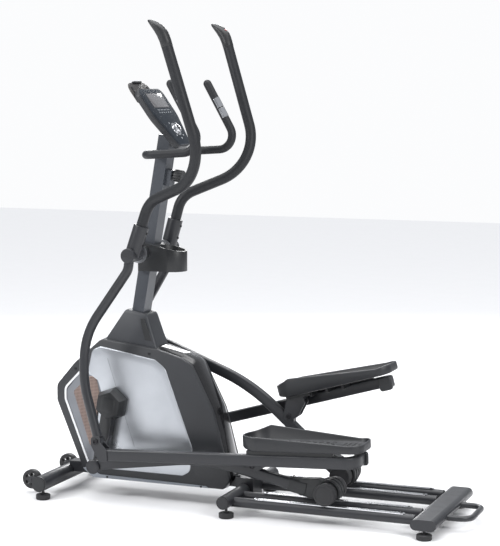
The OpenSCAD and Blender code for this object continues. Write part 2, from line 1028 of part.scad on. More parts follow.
module crank_covers() {
    color("#232529")
        for (s = [LEFT, RIGHT])
            crank_place(s)
                difference() {
                    union() {
                        slab(-crank_cover_out_y + 12, -cover_in_y)
                            cover_outline(62);
                        slab(-crank_cover_out_y, -crank_cover_out_y + 12)
                            cover_outline(56);
                    }
                    slab(-crank_out_y, -crank_in_y)
                        crank_outline(0);
                    across([0, 0], axle_r + run_clear, -crank_in_y - cut, 0);
                    slab(-crank_in_y, 0)
                        translate([60, -30])
                            square([100, 60]);
                }
}

// ---- transport wheels ----
module transport_wheel() {
    color("#2b2d31")
        difference() {
            across([wheel_x, wheel_z], wheel_r, -wheel_y - wheel_w / 2, -wheel_y + wheel_w / 2);
            across([wheel_x, wheel_z], wheel_pin_r + run_clear, -200, 0);
            for (i = [0 : 4])
                translate([wheel_x, 0, wheel_z])
                    rotate([0, 72 * i, 0])
                        across([18, 0], 7, -200, 0);
        }
}

// ---- handlebar set, drawn in the bar frame ----
module lower_arm(s) {
    color("#25272b")
        bar_frame(s)
            difference() {
                union() {
                    across([0, 0], barrel_r, -barrel_out_y, -barrel_in_y);
                    rod([0, -sleeve_y, 0], sleeve_top, sleeve_r);
                    bent_bar([lower_top, lower_1, lower_2, lower_3, lower_end], [60, 330, 380], lower_r);
                    across([0, -bar_drop], eye_r, -hinge_y - eye_w / 2, -hinge_y + eye_w / 2);
                }
                across([0, 0], shaft_r + run_clear, -shaft_half_l - body_gap, -barrel_in_y + cut);
                rod(bar_foot, sleeve_top + [sin(sleeve_dir), 0, cos(sleeve_dir)], bar_r);
                across([0, -bar_drop], hinge_pin_r + run_clear, -300, 0);
                slab(-300, -hinge_y - eye_w / 2)
                    translate([0, -bar_drop])
                        circle(r = 30);
                slab(-hinge_y + eye_w / 2, 0)
                    translate([0, -bar_drop])
                        circle(r = 30);
            }
}

tip_dir = unit(bar_tip - bar_elbow);
bar_bends = [150, 180];

module handlebar(s) {
    color("#2d3034")
        bar_frame(s)
            bent_bar([bar_foot, bar_low, bar_elbow, bar_tip], bar_bends, bar_r);
}

// The moulded tip leans forward and its sloping top carries the thumb button
tip_l = 90;
tip_lip = 0.5;
slope_start = 66;
slope_a = 19;

module slope_place() {
    translate(bar_tip + slope_start * tip_dir)
        rotate([0, slope_a, 0])
            children();
}

module grip(s) {
    color("#161719")
        bar_frame(s) {
            difference() {
                bent_bar([sleeve_top, bar_low, bar_elbow, bar_tip], bar_bends, grip_r);
                bent_bar([bar_foot, bar_low, bar_elbow, bar_tip], bar_bends, bar_r);
            }
            difference() {
                union() {
                    rod(bar_tip, bar_tip + tip_l * tip_dir, grip_r + tip_lip);
                    translate([-22, 0, 0])
                        rod(bar_tip + 34 * tip_dir, bar_tip + tip_l * tip_dir, grip_r - 6);
                }
                slope_place()
                    box([-80, -60, 0], [80, 60, 100]);
                slope_place()
                    translate([8, 0, -button_h - 4])
                        cylinder(h = 40, r = button_r + run_clear * 4);
            }
        }
}

module thumb_button(s) {
    color(s == RIGHT ? "#b3261e" : "#202225")
        bar_frame(s)
            slope_place()
                translate([8, 0, -button_h]) {
                    cylinder(h = button_h + 1, r = button_r);
                    translate([0, 0, button_h + 1])
                        cylinder(h = 1, r1 = button_r, r2 = button_r - 1.5);
                }
}

// ---- pedal arm set, drawn in the pedal frame ----
link_local = turn(-tube_pitch, [pedal_link, 0]);

module pedal_arm(s) {
    half_h = pedal_tube_h / 2;
    bend_x = tube_end - tube_bend_r - pedal_tube_w / 2;
    color("#2a2d32")
        pedal_frame(s) {
            box([tube_start, -tube_out_y, tube_mid - half_h], [bend_x, -tube_in_y, tube_mid + half_h]);
            translate([bend_x, -hinge_y + tube_bend_r, tube_mid])
                rotate([0, 0, -90])
                    rotate_extrude(angle = 90)
                        translate([tube_bend_r - pedal_tube_w / 2, -half_h])
                            square([pedal_tube_w, pedal_tube_h]);
            both_ears();
            link_bracket();
            box([568, -tube_out_y, tube_mid + half_h], [880, -tube_in_y + 30, pedal_base]);
            across([0, 0], hinge_pin_r, -hinge_y - eye_w / 2 - ear_t - 5, -hinge_y + eye_w / 2 + ear_t + 5);
            across(link_local, hinge_pin_r, -arm_out_y - 14, -arm_in_y + 14);
        }
}

module both_ears() {
    for (y = [-hinge_y - eye_w / 2 - body_gap - ear_t, -hinge_y + eye_w / 2 + body_gap])
        slab(y, y + ear_t) {
            circle(r = eye_r);
            polygon([[-18, -6], [18, -6], [tube_start, tube_mid], [tube_start, tube_mid - 22],
                     [10, tube_mid - 22]]);
        }
    box([tube_start - 10, -tube_out_y - 4, tube_mid - 20], [tube_start, -tube_in_y + 4, tube_mid + 20]);
}

module link_bracket() {
    x = link_local[0];
    for (y = [-arm_out_y - body_gap - ear_t, -arm_in_y + body_gap])
        slab(y, y + ear_t) {
            translate(link_local)
                circle(r = 17);
            polygon([[x - 17, link_local[1]], [x + 6, tube_mid + 20], [x + 72, tube_mid + 20],
                     [x + 66, tube_mid - 8], [x + 16, link_local[1] - 8]]);
        }
    box([x + 6, -tube_in_y, tube_mid + 20], [x + 90, -arm_in_y + ear_t + body_gap, pedal_base]);
    box([x + 30, -tube_in_y, tube_mid - 10], [x + 66, -arm_out_y - body_gap, tube_mid + 20]);
}

module pedal(s) {
    color("#1f2124")
        pedal_frame(s)
            translate([pedal_start, -pedal_mid_y, pedal_base])
                difference() {
                    linear_extrude(74)
                        pedal_outline(0);
                    translate([0, 0, 12])
                        linear_extrude(80)
                            pedal_outline(8);
                    slab(-100, 0)
                        polygon([[-5, 42], [60, 50], [155, 50], [265, 20], [400, 18], [pedal_l + 5, 30],
                                 [pedal_l + 5, 90], [-5, 90]]);
                    slab(0, 100)
                        polygon([[-5, 42], [75, 70], [205, 72], [320, 45], [405, 20], [pedal_l + 5, 30],
                                 [pedal_l + 5, 90], [-5, 90]]);
                }
}

module pedal_outline(inset) {
    toe = 70;
    heel_r = 45;
    w = pedal_w - 2 * inset;
    translate([inset + toe, 0]) {
        for (k = [-1, 1])
            translate([0, k * (w / 2 - toe + inset)])
                circle(r = toe - inset);
        for (k = [-1, 1])
            translate([pedal_l - toe - heel_r - inset, k * (w / 2 - heel_r + inset)])
                circle(r = heel_r - inset);
        translate([0, -w / 2])
            square([pedal_l - toe - heel_r - inset, w]);
        translate([inset - toe, -w / 2 + toe - inset])
            square([toe, w - 2 * toe + 2 * inset]);
        translate([pedal_l - toe - heel_r - inset, -w / 2 + heel_r - inset])
            square([heel_r - inset, w - 2 * heel_r + 2 * inset]);
    }
}

// ---- roller arm set, drawn in the arm frame ----
module arm_tube() {
    half_h = arm_h / 2;
    front_l = norm(arm_peak) - arm_bend_t;
    rear_l = 330 - arm_bend_t;
    tuck = joint_tuck / arm_bend_r * 57.3;
    translate([arm_peak[0], 0, arm_peak[1]]) {
        rotate([0, -arm_front_a, 0])
            box([-arm_bend_t - front_l, -arm_out_y, -half_h], [-arm_bend_t, -arm_in_y, half_h]);
        rotate([0, -arm_rear_a, 0])
            box([arm_bend_t, -arm_out_y, -half_h], [arm_bend_t + rear_l, -arm_in_y, half_h]);
        rotate([0, -arm_front_a, 0])
            translate([-arm_bend_t, -arm_in_y - joint_step, -arm_bend_r])
                rotate([90, 0, 0])
                    rotate([0, 0, 90 + arm_rear_a - arm_front_a - tuck])
                        rotate_extrude(angle = arm_front_a - arm_rear_a + 2 * tuck)
                            translate([arm_bend_r - half_h + joint_step, 0])
                                square([arm_h - 2 * joint_step, arm_w - 2 * joint_step]);
    }
}

module roller_arm(s) {
    hub = [roller_arm_l, 0];
    color("#26292d")
        arm_frame(s)
            difference() {
                union() {
                    arm_tube();
                    across([0, 0], arm_boss_r, -arm_out_y - 1, -arm_in_y + 1);
                    across([0, 0], 10, -arm_in_y, -crank_cover_out_y - pin_gap);
                    across([pivot_along, pivot_up], 14, joint_step - arm_out_y, -arm_in_y - joint_step);
                    roller_bracket();
                }
                across([pivot_along, pivot_up], hinge_pin_r + run_clear, -200, 0);
                across(hub, roller_axle_r + run_clear, -300, 0);
            }
}

module roller_bracket() {
    fork_out = outer_roller_y - body_gap;
    fork_in = inner_roller_y + roller_w + body_gap;
    translate([arm_peak[0], 0, arm_peak[1]])
        rotate([0, -arm_rear_a, 0])
            box([318, -arm_out_y - 5, -arm_h / 2 - 5], [378, -arm_in_y + 5, arm_h / 2 + 5]);
    slab(-fork_out, -fork_in) {
        translate([roller_arm_l, 0])
            circle(r = 28);
        polygon([[800, -22], [800, 24], [roller_arm_l, 27], [roller_arm_l, -27]]);
    }
}

module rollers(s) {
    hub = [roller_arm_l, 0];
    color("#1d1e21")
        arm_frame(s) {
            across(hub, roller_axle_r, -outer_roller_y - roller_w, -inner_roller_y);
            across(hub, roller_r, -outer_roller_y - roller_w, -outer_roller_y);
            across(hub, roller_r, -inner_roller_y - roller_w, -inner_roller_y);
        }
}

main_frame();
front_stabiliser();
middle_stabiliser();
stabiliser_caps();
rail_tubes();
rail_strips();
rear_crossbar();
rail_clamp();
screws();
left_cover();
right_cover();
side_panels();
mesh_inserts();
spine_cover();
base_trims();
mast_boot();
mast();
fixed_handlebar();
fixed_grips();
pulse_plates();
console_shell();
console_face();
console_screen();
tablet_holder();
cup_holder();
pivot_shaft();
bearings();
drive_belt();
magnet_brake();
crank_axle();
drive_pulley();
crank_arms();
crank_covers();
flywheel();
foot(front_x, -front_foot_y, stabiliser_z);  // front_left_foot
foot(front_x, front_foot_y, stabiliser_z);  // front_right_foot
foot(middle_x, -middle_foot_y, middle_z);  // middle_left_foot
foot(middle_x, middle_foot_y, middle_z);  // middle_right_foot
foot(rear_x, -rear_foot_y, crossbar_z);  // rear_left_foot
foot(rear_x, rear_foot_y, crossbar_z);  // rear_right_foot
transport_wheel();  // left_transport_wheel
mirror([0, 1, 0]) transport_wheel();  // right_transport_wheel
clamp_knob();
console_knob();
lower_arm(LEFT);  // left_lower_arm
handlebar(LEFT);  // left_handlebar
grip(LEFT);  // left_grip
thumb_button(LEFT);  // left_thumb_button
pedal_arm(LEFT);  // left_pedal_arm
pedal(LEFT);  // left_pedal
roller_arm(LEFT);  // left_roller_arm
rollers(LEFT);  // left_rollers
lower_arm(RIGHT);  // right_lower_arm
handlebar(RIGHT);  // right_handlebar
grip(RIGHT);  // right_grip
thumb_button(RIGHT);  // right_thumb_button
pedal_arm(RIGHT);  // right_pedal_arm
pedal(RIGHT);  // right_pedal
roller_arm(RIGHT);  // right_roller_arm
rollers(RIGHT);  // right_rollers
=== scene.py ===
import json
import math

import bmesh
import bpy
from mathutils import Matrix, Vector

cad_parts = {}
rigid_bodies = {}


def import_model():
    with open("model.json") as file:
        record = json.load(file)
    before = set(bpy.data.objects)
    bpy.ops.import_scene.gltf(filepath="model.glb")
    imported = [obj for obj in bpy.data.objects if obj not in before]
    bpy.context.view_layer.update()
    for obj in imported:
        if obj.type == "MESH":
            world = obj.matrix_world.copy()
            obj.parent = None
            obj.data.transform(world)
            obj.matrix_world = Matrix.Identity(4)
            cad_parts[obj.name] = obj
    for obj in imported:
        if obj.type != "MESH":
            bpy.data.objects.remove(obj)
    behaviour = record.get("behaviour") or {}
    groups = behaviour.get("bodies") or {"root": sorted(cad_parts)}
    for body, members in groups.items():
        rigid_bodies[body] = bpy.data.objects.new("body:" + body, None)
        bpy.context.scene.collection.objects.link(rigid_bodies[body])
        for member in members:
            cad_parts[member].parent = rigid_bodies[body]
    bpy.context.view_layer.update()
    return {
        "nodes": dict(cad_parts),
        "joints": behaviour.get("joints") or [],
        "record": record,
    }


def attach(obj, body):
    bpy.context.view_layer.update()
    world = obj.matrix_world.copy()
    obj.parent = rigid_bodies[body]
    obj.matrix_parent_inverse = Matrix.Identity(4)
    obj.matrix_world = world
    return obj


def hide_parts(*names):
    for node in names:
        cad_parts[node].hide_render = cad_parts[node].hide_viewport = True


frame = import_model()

# Lengths below are in millimetres until place() turns them into metres.
MM = 0.001
ROOT = "frame"

# ---- sizes shared with the CAD model ----
SHAFT_DROP = 667.7          # handlebar shaft to pedal arm hinge
ARM_L = 890                 # crank pin to roller axle
PIVOT_ALONG = 612           # crank pin to the pedal link, along the roller arm
PIVOT_UP = 62               # the pedal link above the line from pin to axle
TUBE_PITCH = math.radians(8.4)
CRANK_ANGLE = math.radians(259)
HOUSING_Y = 66              # outer face of each housing cover
COVER_DEPTH = 16
HINGE_Y = 207               # middle of the pedal arm tube
SLEEVE_Y = 150              # middle of the handlebar sleeve
TIP_Y = 318                 # the handlebar's free end
ARM_Y = 138                 # middle of the roller arm tube
PEDAL_Y = 155
FIXED_Y = 160               # the fixed bar's two arms
GRIP_R = 19
LOWER_R = 17
FOAM_R = 14.7               # foam on the fixed bar
ROLLER_R = 38
TUBE_Z = -48.7              # middle of the pedal arm tube, below its hinge
PEDAL_START = 541           # toe of the tray, from the pedal arm's hinge
PEDAL_L, PEDAL_W = 441, 154
PEDAL_BASE = -15
CONSOLE_TILT = math.radians(54.1)
CONSOLE_TOP = Vector((-384, 0, 1467))
KNOB_DOWN = 178             # console knob, below the top edge of the face

# ---- camera and light ----
LENS_MM = 110.04
CAMERA_AZIMUTH, CAMERA_ELEVATION = math.radians(21.69), math.radians(6.52)
CAMERA_DISTANCE = 5.833
CAMERA_TARGET = Vector((0, 0, 0.824))
LIGHT_TARGET = Vector((0, 0, 0.7))
FLOOR_HALF = 12
SKY_POWER, SKY_ANGLE = 1.75, math.radians(80)
# name, place in metres, width in metres, watts
SOFT_BOXES = (("key", (-3.0, -3.2, 3.0), 1.2, 110), ("side", (3.4, -2.2, 2.6), 1.0, 80),
              ("top", (0.2, 0.2, 4.4), 3.2, 60), ("rim", (-1.6, 3.6, 2.4), 1.4, 60))

joints = {j["name"]: j for j in frame["joints"]}


def joint_at(name):
    return Vector(joints[name]["pos_m"]) / MM


# =========================================================== places
def place(x0=0.0, z0=0.0, angle=0.0, side=1):
    """Maps a point (forward-back, outwards, up) of a tilted local frame to the row frame, in metres."""
    c, s = math.cos(angle), math.sin(angle)

    def to_row(p):
        x, y, z = p
        return Vector((x0 + x * c - z * s, side * y, z0 + x * s + z * c)) * MM

    return to_row


def console_place(p):
    """Maps (down the face, sideways, out of the face) of the console to the row frame."""
    down = Vector((math.cos(CONSOLE_TILT), 0, -math.sin(CONSOLE_TILT)))
    out = Vector((math.sin(CONSOLE_TILT), 0, math.cos(CONSOLE_TILT)))
    return (CONSOLE_TOP + p[0] * down + Vector((0, p[1], 0)) + p[2] * out) * MM


class Side:
    """The moving frames of one side of the linkage, found from the joints."""

    def __init__(self, word, sign):
        self.word, self.sign = word, sign
        shaft, hinge = joint_at(word + "_handlebar_swing"), joint_at(word + "_pedal_arm_pivot")
        link, hub = joint_at(word + "_roller_arm_pivot"), joint_at(word + "_roller_spin")
        self.bar = place(shaft.x, shaft.z, math.atan2(hinge.x - shaft.x, shaft.z - hinge.z), sign)
        reach = math.atan2(link.z - hinge.z, link.x - hinge.x)
        self.pedal = place(hinge.x, hinge.z, reach + TUBE_PITCH, sign)
        span = math.hypot(link.x - hinge.x, link.z - hinge.z)
        self.link_x, self.link_z = span * math.cos(TUBE_PITCH), -span * math.sin(TUBE_PITCH)
        chord = math.atan2(hub.z - link.z, hub.x - link.x) + math.atan2(PIVOT_UP, ARM_L - PIVOT_ALONG)
        pin_x, pin_z = hub.x - ARM_L * math.cos(chord), hub.z - ARM_L * math.sin(chord)
        self.arm = place(pin_x, pin_z, chord, sign)
        crank = joint_at("crank_spin")
        turn = CRANK_ANGLE if sign < 0 else CRANK_ANGLE + math.pi
        self.crank = place(crank.x, crank.z, turn, sign)
        self.flat = place(side=sign)

    def node(self, name):
        return f"{self.word}_{name}"


LEFT, RIGHT = Side("left", -1), Side("right", 1)
SIDES = (LEFT, RIGHT)


# =========================================================== outlines and paths
def rounded(corners, radii, steps=8):
    """A closed outline with each corner rounded; radii is one number or one for each corner."""
    n = len(corners)
    radii = [radii] * n if isinstance(radii, (int, float)) else radii
    out = []
    for i, corner in enumerate(corners):
        p, q, s = Vector(corners[i - 1]), Vector(corner), Vector(corners[(i + 1) % n])
        out += corner_arc(p, q, s, radii[i], steps)
    return out


def corner_arc(p, q, s, radius, steps):
    """The arc that rounds the corner q between p and s, no longer than half of either side."""
    a, b = (p - q).normalized(), (s - q).normalized()
    half = a.angle(b) / 2
    reach = min(radius / math.tan(half), 0.49 * (p - q).length, 0.49 * (s - q).length)
    if reach < 0.05 or half > 1.56:
        return [q.copy()]
    radius = reach * math.tan(half)
    centre = q + (a + b).normalized() * radius / math.sin(half)
    u = (q + a * reach) - centre
    v = (q + b * reach) - centre
    total = u.angle(v)

    def spot(t):
        return centre + (u * math.sin((1 - t) * total) + v * math.sin(t * total)) / math.sin(total)

    return [spot(k / steps) for k in range(steps + 1)]


def bent(points, radii, steps=12):
    """An open path with its inner corners rounded."""
    points = [Vector(p) for p in points]
    out = [points[0]]
    for i in range(1, len(points) - 1):
        out += corner_arc(points[i - 1], points[i], points[i + 1], radii[i - 1], steps)
    return out + [points[-1]]


def circle(r, n=40, cx=0.0, cz=0.0, start=0.0):
    angles = [start + 2 * math.pi * k / n for k in range(n)]
    return [Vector((cx + r * math.cos(a), cz + r * math.sin(a))) for a in angles]


def oblong(w, h, r, steps=4):
    """A rounded rectangle section, w by h, about the origin."""
    return rounded([(-w / 2, -h / 2), (w / 2, -h / 2), (w / 2, h / 2), (-w / 2, h / 2)], r, steps)


def inset(outline, d):
    """The outline moved inwards by d along its own normals."""
    n = len(outline)
    area = sum(outline[i - 1].x * outline[i].y - outline[i].x * outline[i - 1].y for i in range(n))
    sign = 1 if area > 0 else -1
    out = []
    for i in range(n):
        t = (outline[(i + 1) % n] - outline[i - 1]).normalized()
        out.append(outline[i] + Vector((-t.y, t.x)) * d * sign)
    return out


# =========================================================== solids as (points, faces)
def bridge(rings, n):
    """Faces that join rings of n points each, with both ends closed."""
    faces = [(r * n + k, r * n + (k + 1) % n, (r + 1) * n + (k + 1) % n, (r + 1) * n + k)
             for r in range(rings - 1) for k in range(n)]
    return faces + [tuple(range(n)), tuple(range((rings - 1) * n, rings * n))]


def stack(outline, levels):
    """An X-Z outline built outwards through levels of (inset, y)."""
    points = [(p.x, y, p.y) for d, y in levels for p in (inset(outline, d) if d else outline)]
    return points, bridge(len(levels), len(outline))


def crowned(outline, levels, crown, rings=7):
    """A stack whose last face bulges outwards by crown towards its middle."""
    points, faces = stack(outline, levels)
    n = len(outline)
    faces = faces[:-1]
    edge = inset(outline, levels[-1][0])
    y = levels[-1][1]
    centre = sum(edge, Vector((0, 0))) / n
    base = (len(levels) - 1) * n
    for r in range(1, rings):
        share = 1 - r / rings
        points += [(centre.x + (p.x - centre.x) * share, y + crown * (1 - share ** 2.4),
                    centre.y + (p.y - centre.y) * share) for p in edge]
        start = len(points) - n
        faces += [(base + k, base + (k + 1) % n, start + (k + 1) % n, start + k) for k in range(n)]
        base = start
    points.append((centre.x, y + crown, centre.y))
    faces += [(base + k, base + (k + 1) % n, len(points) - 1) for k in range(n)]
    return points, faces


def lathe(profile, cx=0.0, cz=0.0, n=48):
    """A profile of (radius, y) turned about the Y line through (cx, cz)."""
    points = [(cx + r * math.cos(2 * math.pi * k / n), y, cz + r * math.sin(2 * math.pi * k / n))
              for r, y in profile for k in range(n)]
    return points, bridge(len(profile), n)


def sweep(path, section, up=(0, 0, 1), closed=False, scale=None):
    """A section of (across, up) points carried along a path, with no twist."""
    n, m = len(section), len(path)
    path = [Vector(p) for p in path]
    tangents = []
    for i in range(m):
        before = path[i - 1] if i or closed else path[i]
        after = path[(i + 1) % m] if i < m - 1 or closed else path[i]
        tangents.append((after - before).normalized())
    axis_up = Vector(up)
    points = []
    for i, t in enumerate(tangents):
        axis_up = (axis_up - t * axis_up.dot(t)).normalized()
        across = t.cross(axis_up)
        k = scale(i / (m - 1)) if scale else 1
        points += [path[i] + across * a * k + axis_up * b * k for a, b in section]
    if closed:
        faces = [(r * n + k, r * n + (k + 1) % n, (r + 1) % m * n + (k + 1) % n, (r + 1) % m * n + k)
                 for r in range(m) for k in range(n)]
        return points, faces
    return points, bridge(m, n)


def tube(path, r, n):
    return sweep(path, circle(r, n))


def block(low, high):
    """A box between two opposite corners."""
    (x0, y0, z0), (x1, y1, z1) = low, high
    points = [(x, y, z) for x in (x0, x1) for y in (y0, y1) for z in (z0, z1)]
    return points, [(0, 1, 3, 2), (4, 6, 7, 5), (0, 4, 5, 1), (2, 3, 7, 6), (0, 2, 6, 4), (1, 5, 7, 3)]


def many(*solids):
    """Several solids as one."""
    points, faces = [], []
    for p, f in solids:
        faces += [tuple(k + len(points) for k in face) for face in f]
        points += list(p)
    return points, faces


# =========================================================== pieces
def make(name, solid, where, body, finish, replaced=(), bevel=0.0, sharp=35):
    """Builds a piece from (points, faces), sets it in its frame and lets it ride on its body."""
    mesh = bpy.data.meshes.new(name)
    points, faces = solid
    mesh.from_pydata([where(p) for p in points], [], faces)
    bm = bmesh.new()
    bm.from_mesh(mesh)
    bmesh.ops.remove_doubles(bm, verts=bm.verts, dist=1e-6)
    bmesh.ops.dissolve_degenerate(bm, edges=bm.edges, dist=1e-6)
    bmesh.ops.recalc_face_normals(bm, faces=bm.faces)
    bm.to_mesh(mesh)
    bm.free()
    mesh.shade_smooth()
    mesh.set_sharp_from_angle(angle=math.radians(sharp))
    obj = bpy.data.objects.new(name, mesh)
    bpy.context.scene.collection.objects.link(obj)
    obj.data.materials.append(FINISH[finish])
    if bevel:
        soften(obj, bevel)
    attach(obj, body)
    if replaced:
        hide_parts(*replaced)
    return obj


def soften(obj, width, segments=3):
    """Rounds the sharp edges by width."""
    edge = obj.modifiers.new("soft_edges", "BEVEL")
    edge.width = width * MM
    edge.segments = segments
    edge.limit_method = "ANGLE"
    edge.angle_limit = math.radians(38)
    edge.harden_normals = True
    edge.use_clamp_overlap = True


def soften_cad(width, *names):
    """Breaks the sharp edges of CAD nodes that stay in view."""
    for name in names:
        obj = frame["nodes"][name]
        weld = obj.modifiers.new("weld", "WELD")
        weld.merge_threshold = 1e-5
        soften(obj, width, 2)


# =========================================================== finishes
def group(name, inputs, outputs):
    """An empty node group with its sockets, and its input and output nodes."""
    tree = bpy.data.node_groups.new(name, "ShaderNodeTree")
    for label, kind, value in inputs:
        socket = tree.interface.new_socket(label, in_out="INPUT", socket_type=kind)
        socket.default_value = value
    for label, kind in outputs:
        tree.interface.new_socket(label, in_out="OUTPUT", socket_type=kind)
    return tree, tree.nodes.new("NodeGroupInput"), tree.nodes.new("NodeGroupOutput")


def noise(tree, coords, scale, detail=3.0, rough=0.5):
    node = tree.nodes.new("ShaderNodeTexNoise")
    node.inputs["Scale"].default_value = scale
    node.inputs["Detail"].default_value = detail
    node.inputs["Roughness"].default_value = rough
    tree.links.new(coords, node.inputs["Vector"])
    return node


def mix_colour(tree, factor, a, b):
    node = tree.nodes.new("ShaderNodeMix")
    node.data_type = "RGBA"
    tree.links.new(factor, node.inputs["Factor"])
    tree.links.new(a, node.inputs["A"])
    tree.links.new(b, node.inputs["B"])
    return node.outputs["Result"]


def spread(tree, value, low, high):
    """Stretches the middle of a noise value over low to high, each a number or a socket."""
    node = tree.nodes.new("ShaderNodeMapRange")
    tree.links.new(value, node.inputs["Value"])
    node.inputs["From Min"].default_value = 0.3
    node.inputs["From Max"].default_value = 0.7
    for label, end in (("To Min", low), ("To Max", high)):
        if isinstance(end, (int, float)):
            node.inputs[label].default_value = end
        else:
            tree.links.new(end, node.inputs[label])
    return node.outputs["Result"]


def surface_group():
    """Cloudy colour, handled patches of gloss and a fine moulded or sprayed grain."""
    tree, given, out = group("surface", [
        ("Base", "NodeSocketColor", (0.1, 0.1, 0.1, 1)), ("Tint", "NodeSocketColor", (0.1, 0.1, 0.1, 1)),
        ("Gloss Low", "NodeSocketFloat", 0.3), ("Gloss High", "NodeSocketFloat", 0.5),
        ("Grain Scale", "NodeSocketFloat", 900.0), ("Grain Depth", "NodeSocketFloat", 0.1)],
        [("Color", "NodeSocketColor"), ("Roughness", "NodeSocketFloat"), ("Normal", "NodeSocketVector")])
    coords = tree.nodes.new("ShaderNodeTexCoord").outputs["Object"]
    clouds = noise(tree, coords, 7.0, 4.0, 0.6)
    specks = noise(tree, coords, 900.0, 2.0, 0.6)
    tree.links.new(given.outputs["Grain Scale"], specks.inputs["Scale"])
    both = tree.nodes.new("ShaderNodeMath")
    both.operation = "MULTIPLY_ADD"
    both.inputs[1].default_value = 0.35
    tree.links.new(specks.outputs["Fac"], both.inputs[0])
    tree.links.new(spread(tree, clouds.outputs["Fac"], 0.0, 0.65), both.inputs[2])
    tree.links.new(mix_colour(tree, both.outputs[0], given.outputs["Base"], given.outputs["Tint"]),
                   out.inputs["Color"])
    gloss = spread(tree, clouds.outputs["Fac"], given.outputs["Gloss Low"], given.outputs["Gloss High"])
    tree.links.new(gloss, out.inputs["Roughness"])
    bump = tree.nodes.new("ShaderNodeBump")
    bump.inputs["Distance"].default_value = 0.0004
    tree.links.new(given.outputs["Grain Depth"], bump.inputs["Strength"])
    tree.links.new(specks.outputs["Fac"], bump.inputs["Height"])
    tree.links.new(bump.outputs["Normal"], out.inputs["Normal"])
    return tree


def dust_group():
    """A thin pale film that gathers on faces that look up."""
    tree, given, out = group("dust", [
        ("Color", "NodeSocketColor", (0.1, 0.1, 0.1, 1)), ("Amount", "NodeSocketFloat", 0.1)],
        [("Color", "NodeSocketColor")])
    normal = tree.nodes.new("ShaderNodeNewGeometry").outputs["Normal"]
    split = tree.nodes.new("ShaderNodeSeparateXYZ")
    tree.links.new(normal, split.inputs[0])
    coords = tree.nodes.new("ShaderNodeTexCoord").outputs["Object"]
    patches = noise(tree, coords, 30.0, 5.0, 0.65)
    facing = tree.nodes.new("ShaderNodeMapRange")
    facing.inputs["From Min"].default_value = 0.3
    tree.links.new(split.outputs["Z"], facing.inputs["Value"])
    cover = tree.nodes.new("ShaderNodeMath")
    cover.operation = "MULTIPLY"
    tree.links.new(facing.outputs["Result"], cover.inputs[0])
    tree.links.new(patches.outputs["Fac"], cover.inputs[1])
    amount = tree.nodes.new("ShaderNodeMath")
    amount.operation = "MULTIPLY"
    tree.links.new(cover.outputs[0], amount.inputs[0])
    tree.links.new(given.outputs["Amount"], amount.inputs[1])
    pale = tree.nodes.new("ShaderNodeRGB")
    pale.outputs[0].default_value = (0.45, 0.46, 0.48, 1)
    tree.links.new(mix_colour(tree, amount.outputs[0], given.outputs["Color"], pale.outputs[0]),
                   out.inputs["Color"])
    return tree


SURFACE, DUST = surface_group(), dust_group()


def finish(name, base, tint, gloss, grain, depth, metallic=0.0, coat=0.0, dust=0.15, specular=0.5):
    """A material from the shared surface and dust groups."""
    mat = bpy.data.materials.new(name)
    mat.use_nodes = True
    tree = mat.node_tree
    shader = tree.nodes["Principled BSDF"]
    look = tree.nodes.new("ShaderNodeGroup")
    look.node_tree = SURFACE
    for label, value in (("Base", base), ("Tint", tint), ("Gloss Low", gloss[0]), ("Gloss High", gloss[1]),
                         ("Grain Scale", grain), ("Grain Depth", depth)):
        look.inputs[label].default_value = value
    film = tree.nodes.new("ShaderNodeGroup")
    film.node_tree = DUST
    film.inputs["Amount"].default_value = dust
    tree.links.new(look.outputs["Color"], film.inputs["Color"])
    tree.links.new(film.outputs["Color"], shader.inputs["Base Color"])
    tree.links.new(look.outputs["Roughness"], shader.inputs["Roughness"])
    tree.links.new(look.outputs["Normal"], shader.inputs["Normal"])
    shader.inputs["Metallic"].default_value = metallic
    shader.inputs["Specular IOR Level"].default_value = specular
    shader.inputs["Coat Weight"].default_value = coat
    shader.inputs["Coat Roughness"].default_value = 0.12
    return mat


def mesh_finish():
    """Copper-coloured speaker mesh: rows of small dark holes in a printed metallic skin."""
    mat = finish("copper_mesh", (0.33, 0.245, 0.21, 1), (0.25, 0.19, 0.17, 1), (0.35, 0.5), 1200, 0.1, 0.6)
    tree = mat.node_tree
    shader = tree.nodes["Principled BSDF"]
    coords = tree.nodes.new("ShaderNodeTexCoord").outputs["Object"]
    holes = tree.nodes.new("ShaderNodeTexVoronoi")
    holes.inputs["Scale"].default_value = 190
    holes.inputs["Randomness"].default_value = 0.0
    tree.links.new(coords, holes.inputs["Vector"])
    edge = tree.nodes.new("ShaderNodeMapRange")
    edge.inputs["From Min"].default_value = 0.25
    edge.inputs["From Max"].default_value = 0.4
    tree.links.new(holes.outputs["Distance"], edge.inputs["Value"])
    dark = tree.nodes.new("ShaderNodeRGB")
    dark.outputs[0].default_value = (0.07, 0.05, 0.045, 1)
    painted = shader.inputs["Base Color"].links[0].from_socket
    tree.links.new(mix_colour(tree, edge.outputs["Result"], dark.outputs[0], painted),
                   shader.inputs["Base Color"])
    bump = tree.nodes.new("ShaderNodeBump")
    bump.inputs["Distance"].default_value = 0.0006
    bump.inputs["Strength"].default_value = 0.5
    tree.links.new(edge.outputs["Result"], bump.inputs["Height"])
    tree.links.new(bump.outputs["Normal"], shader.inputs["Normal"])
    return mat


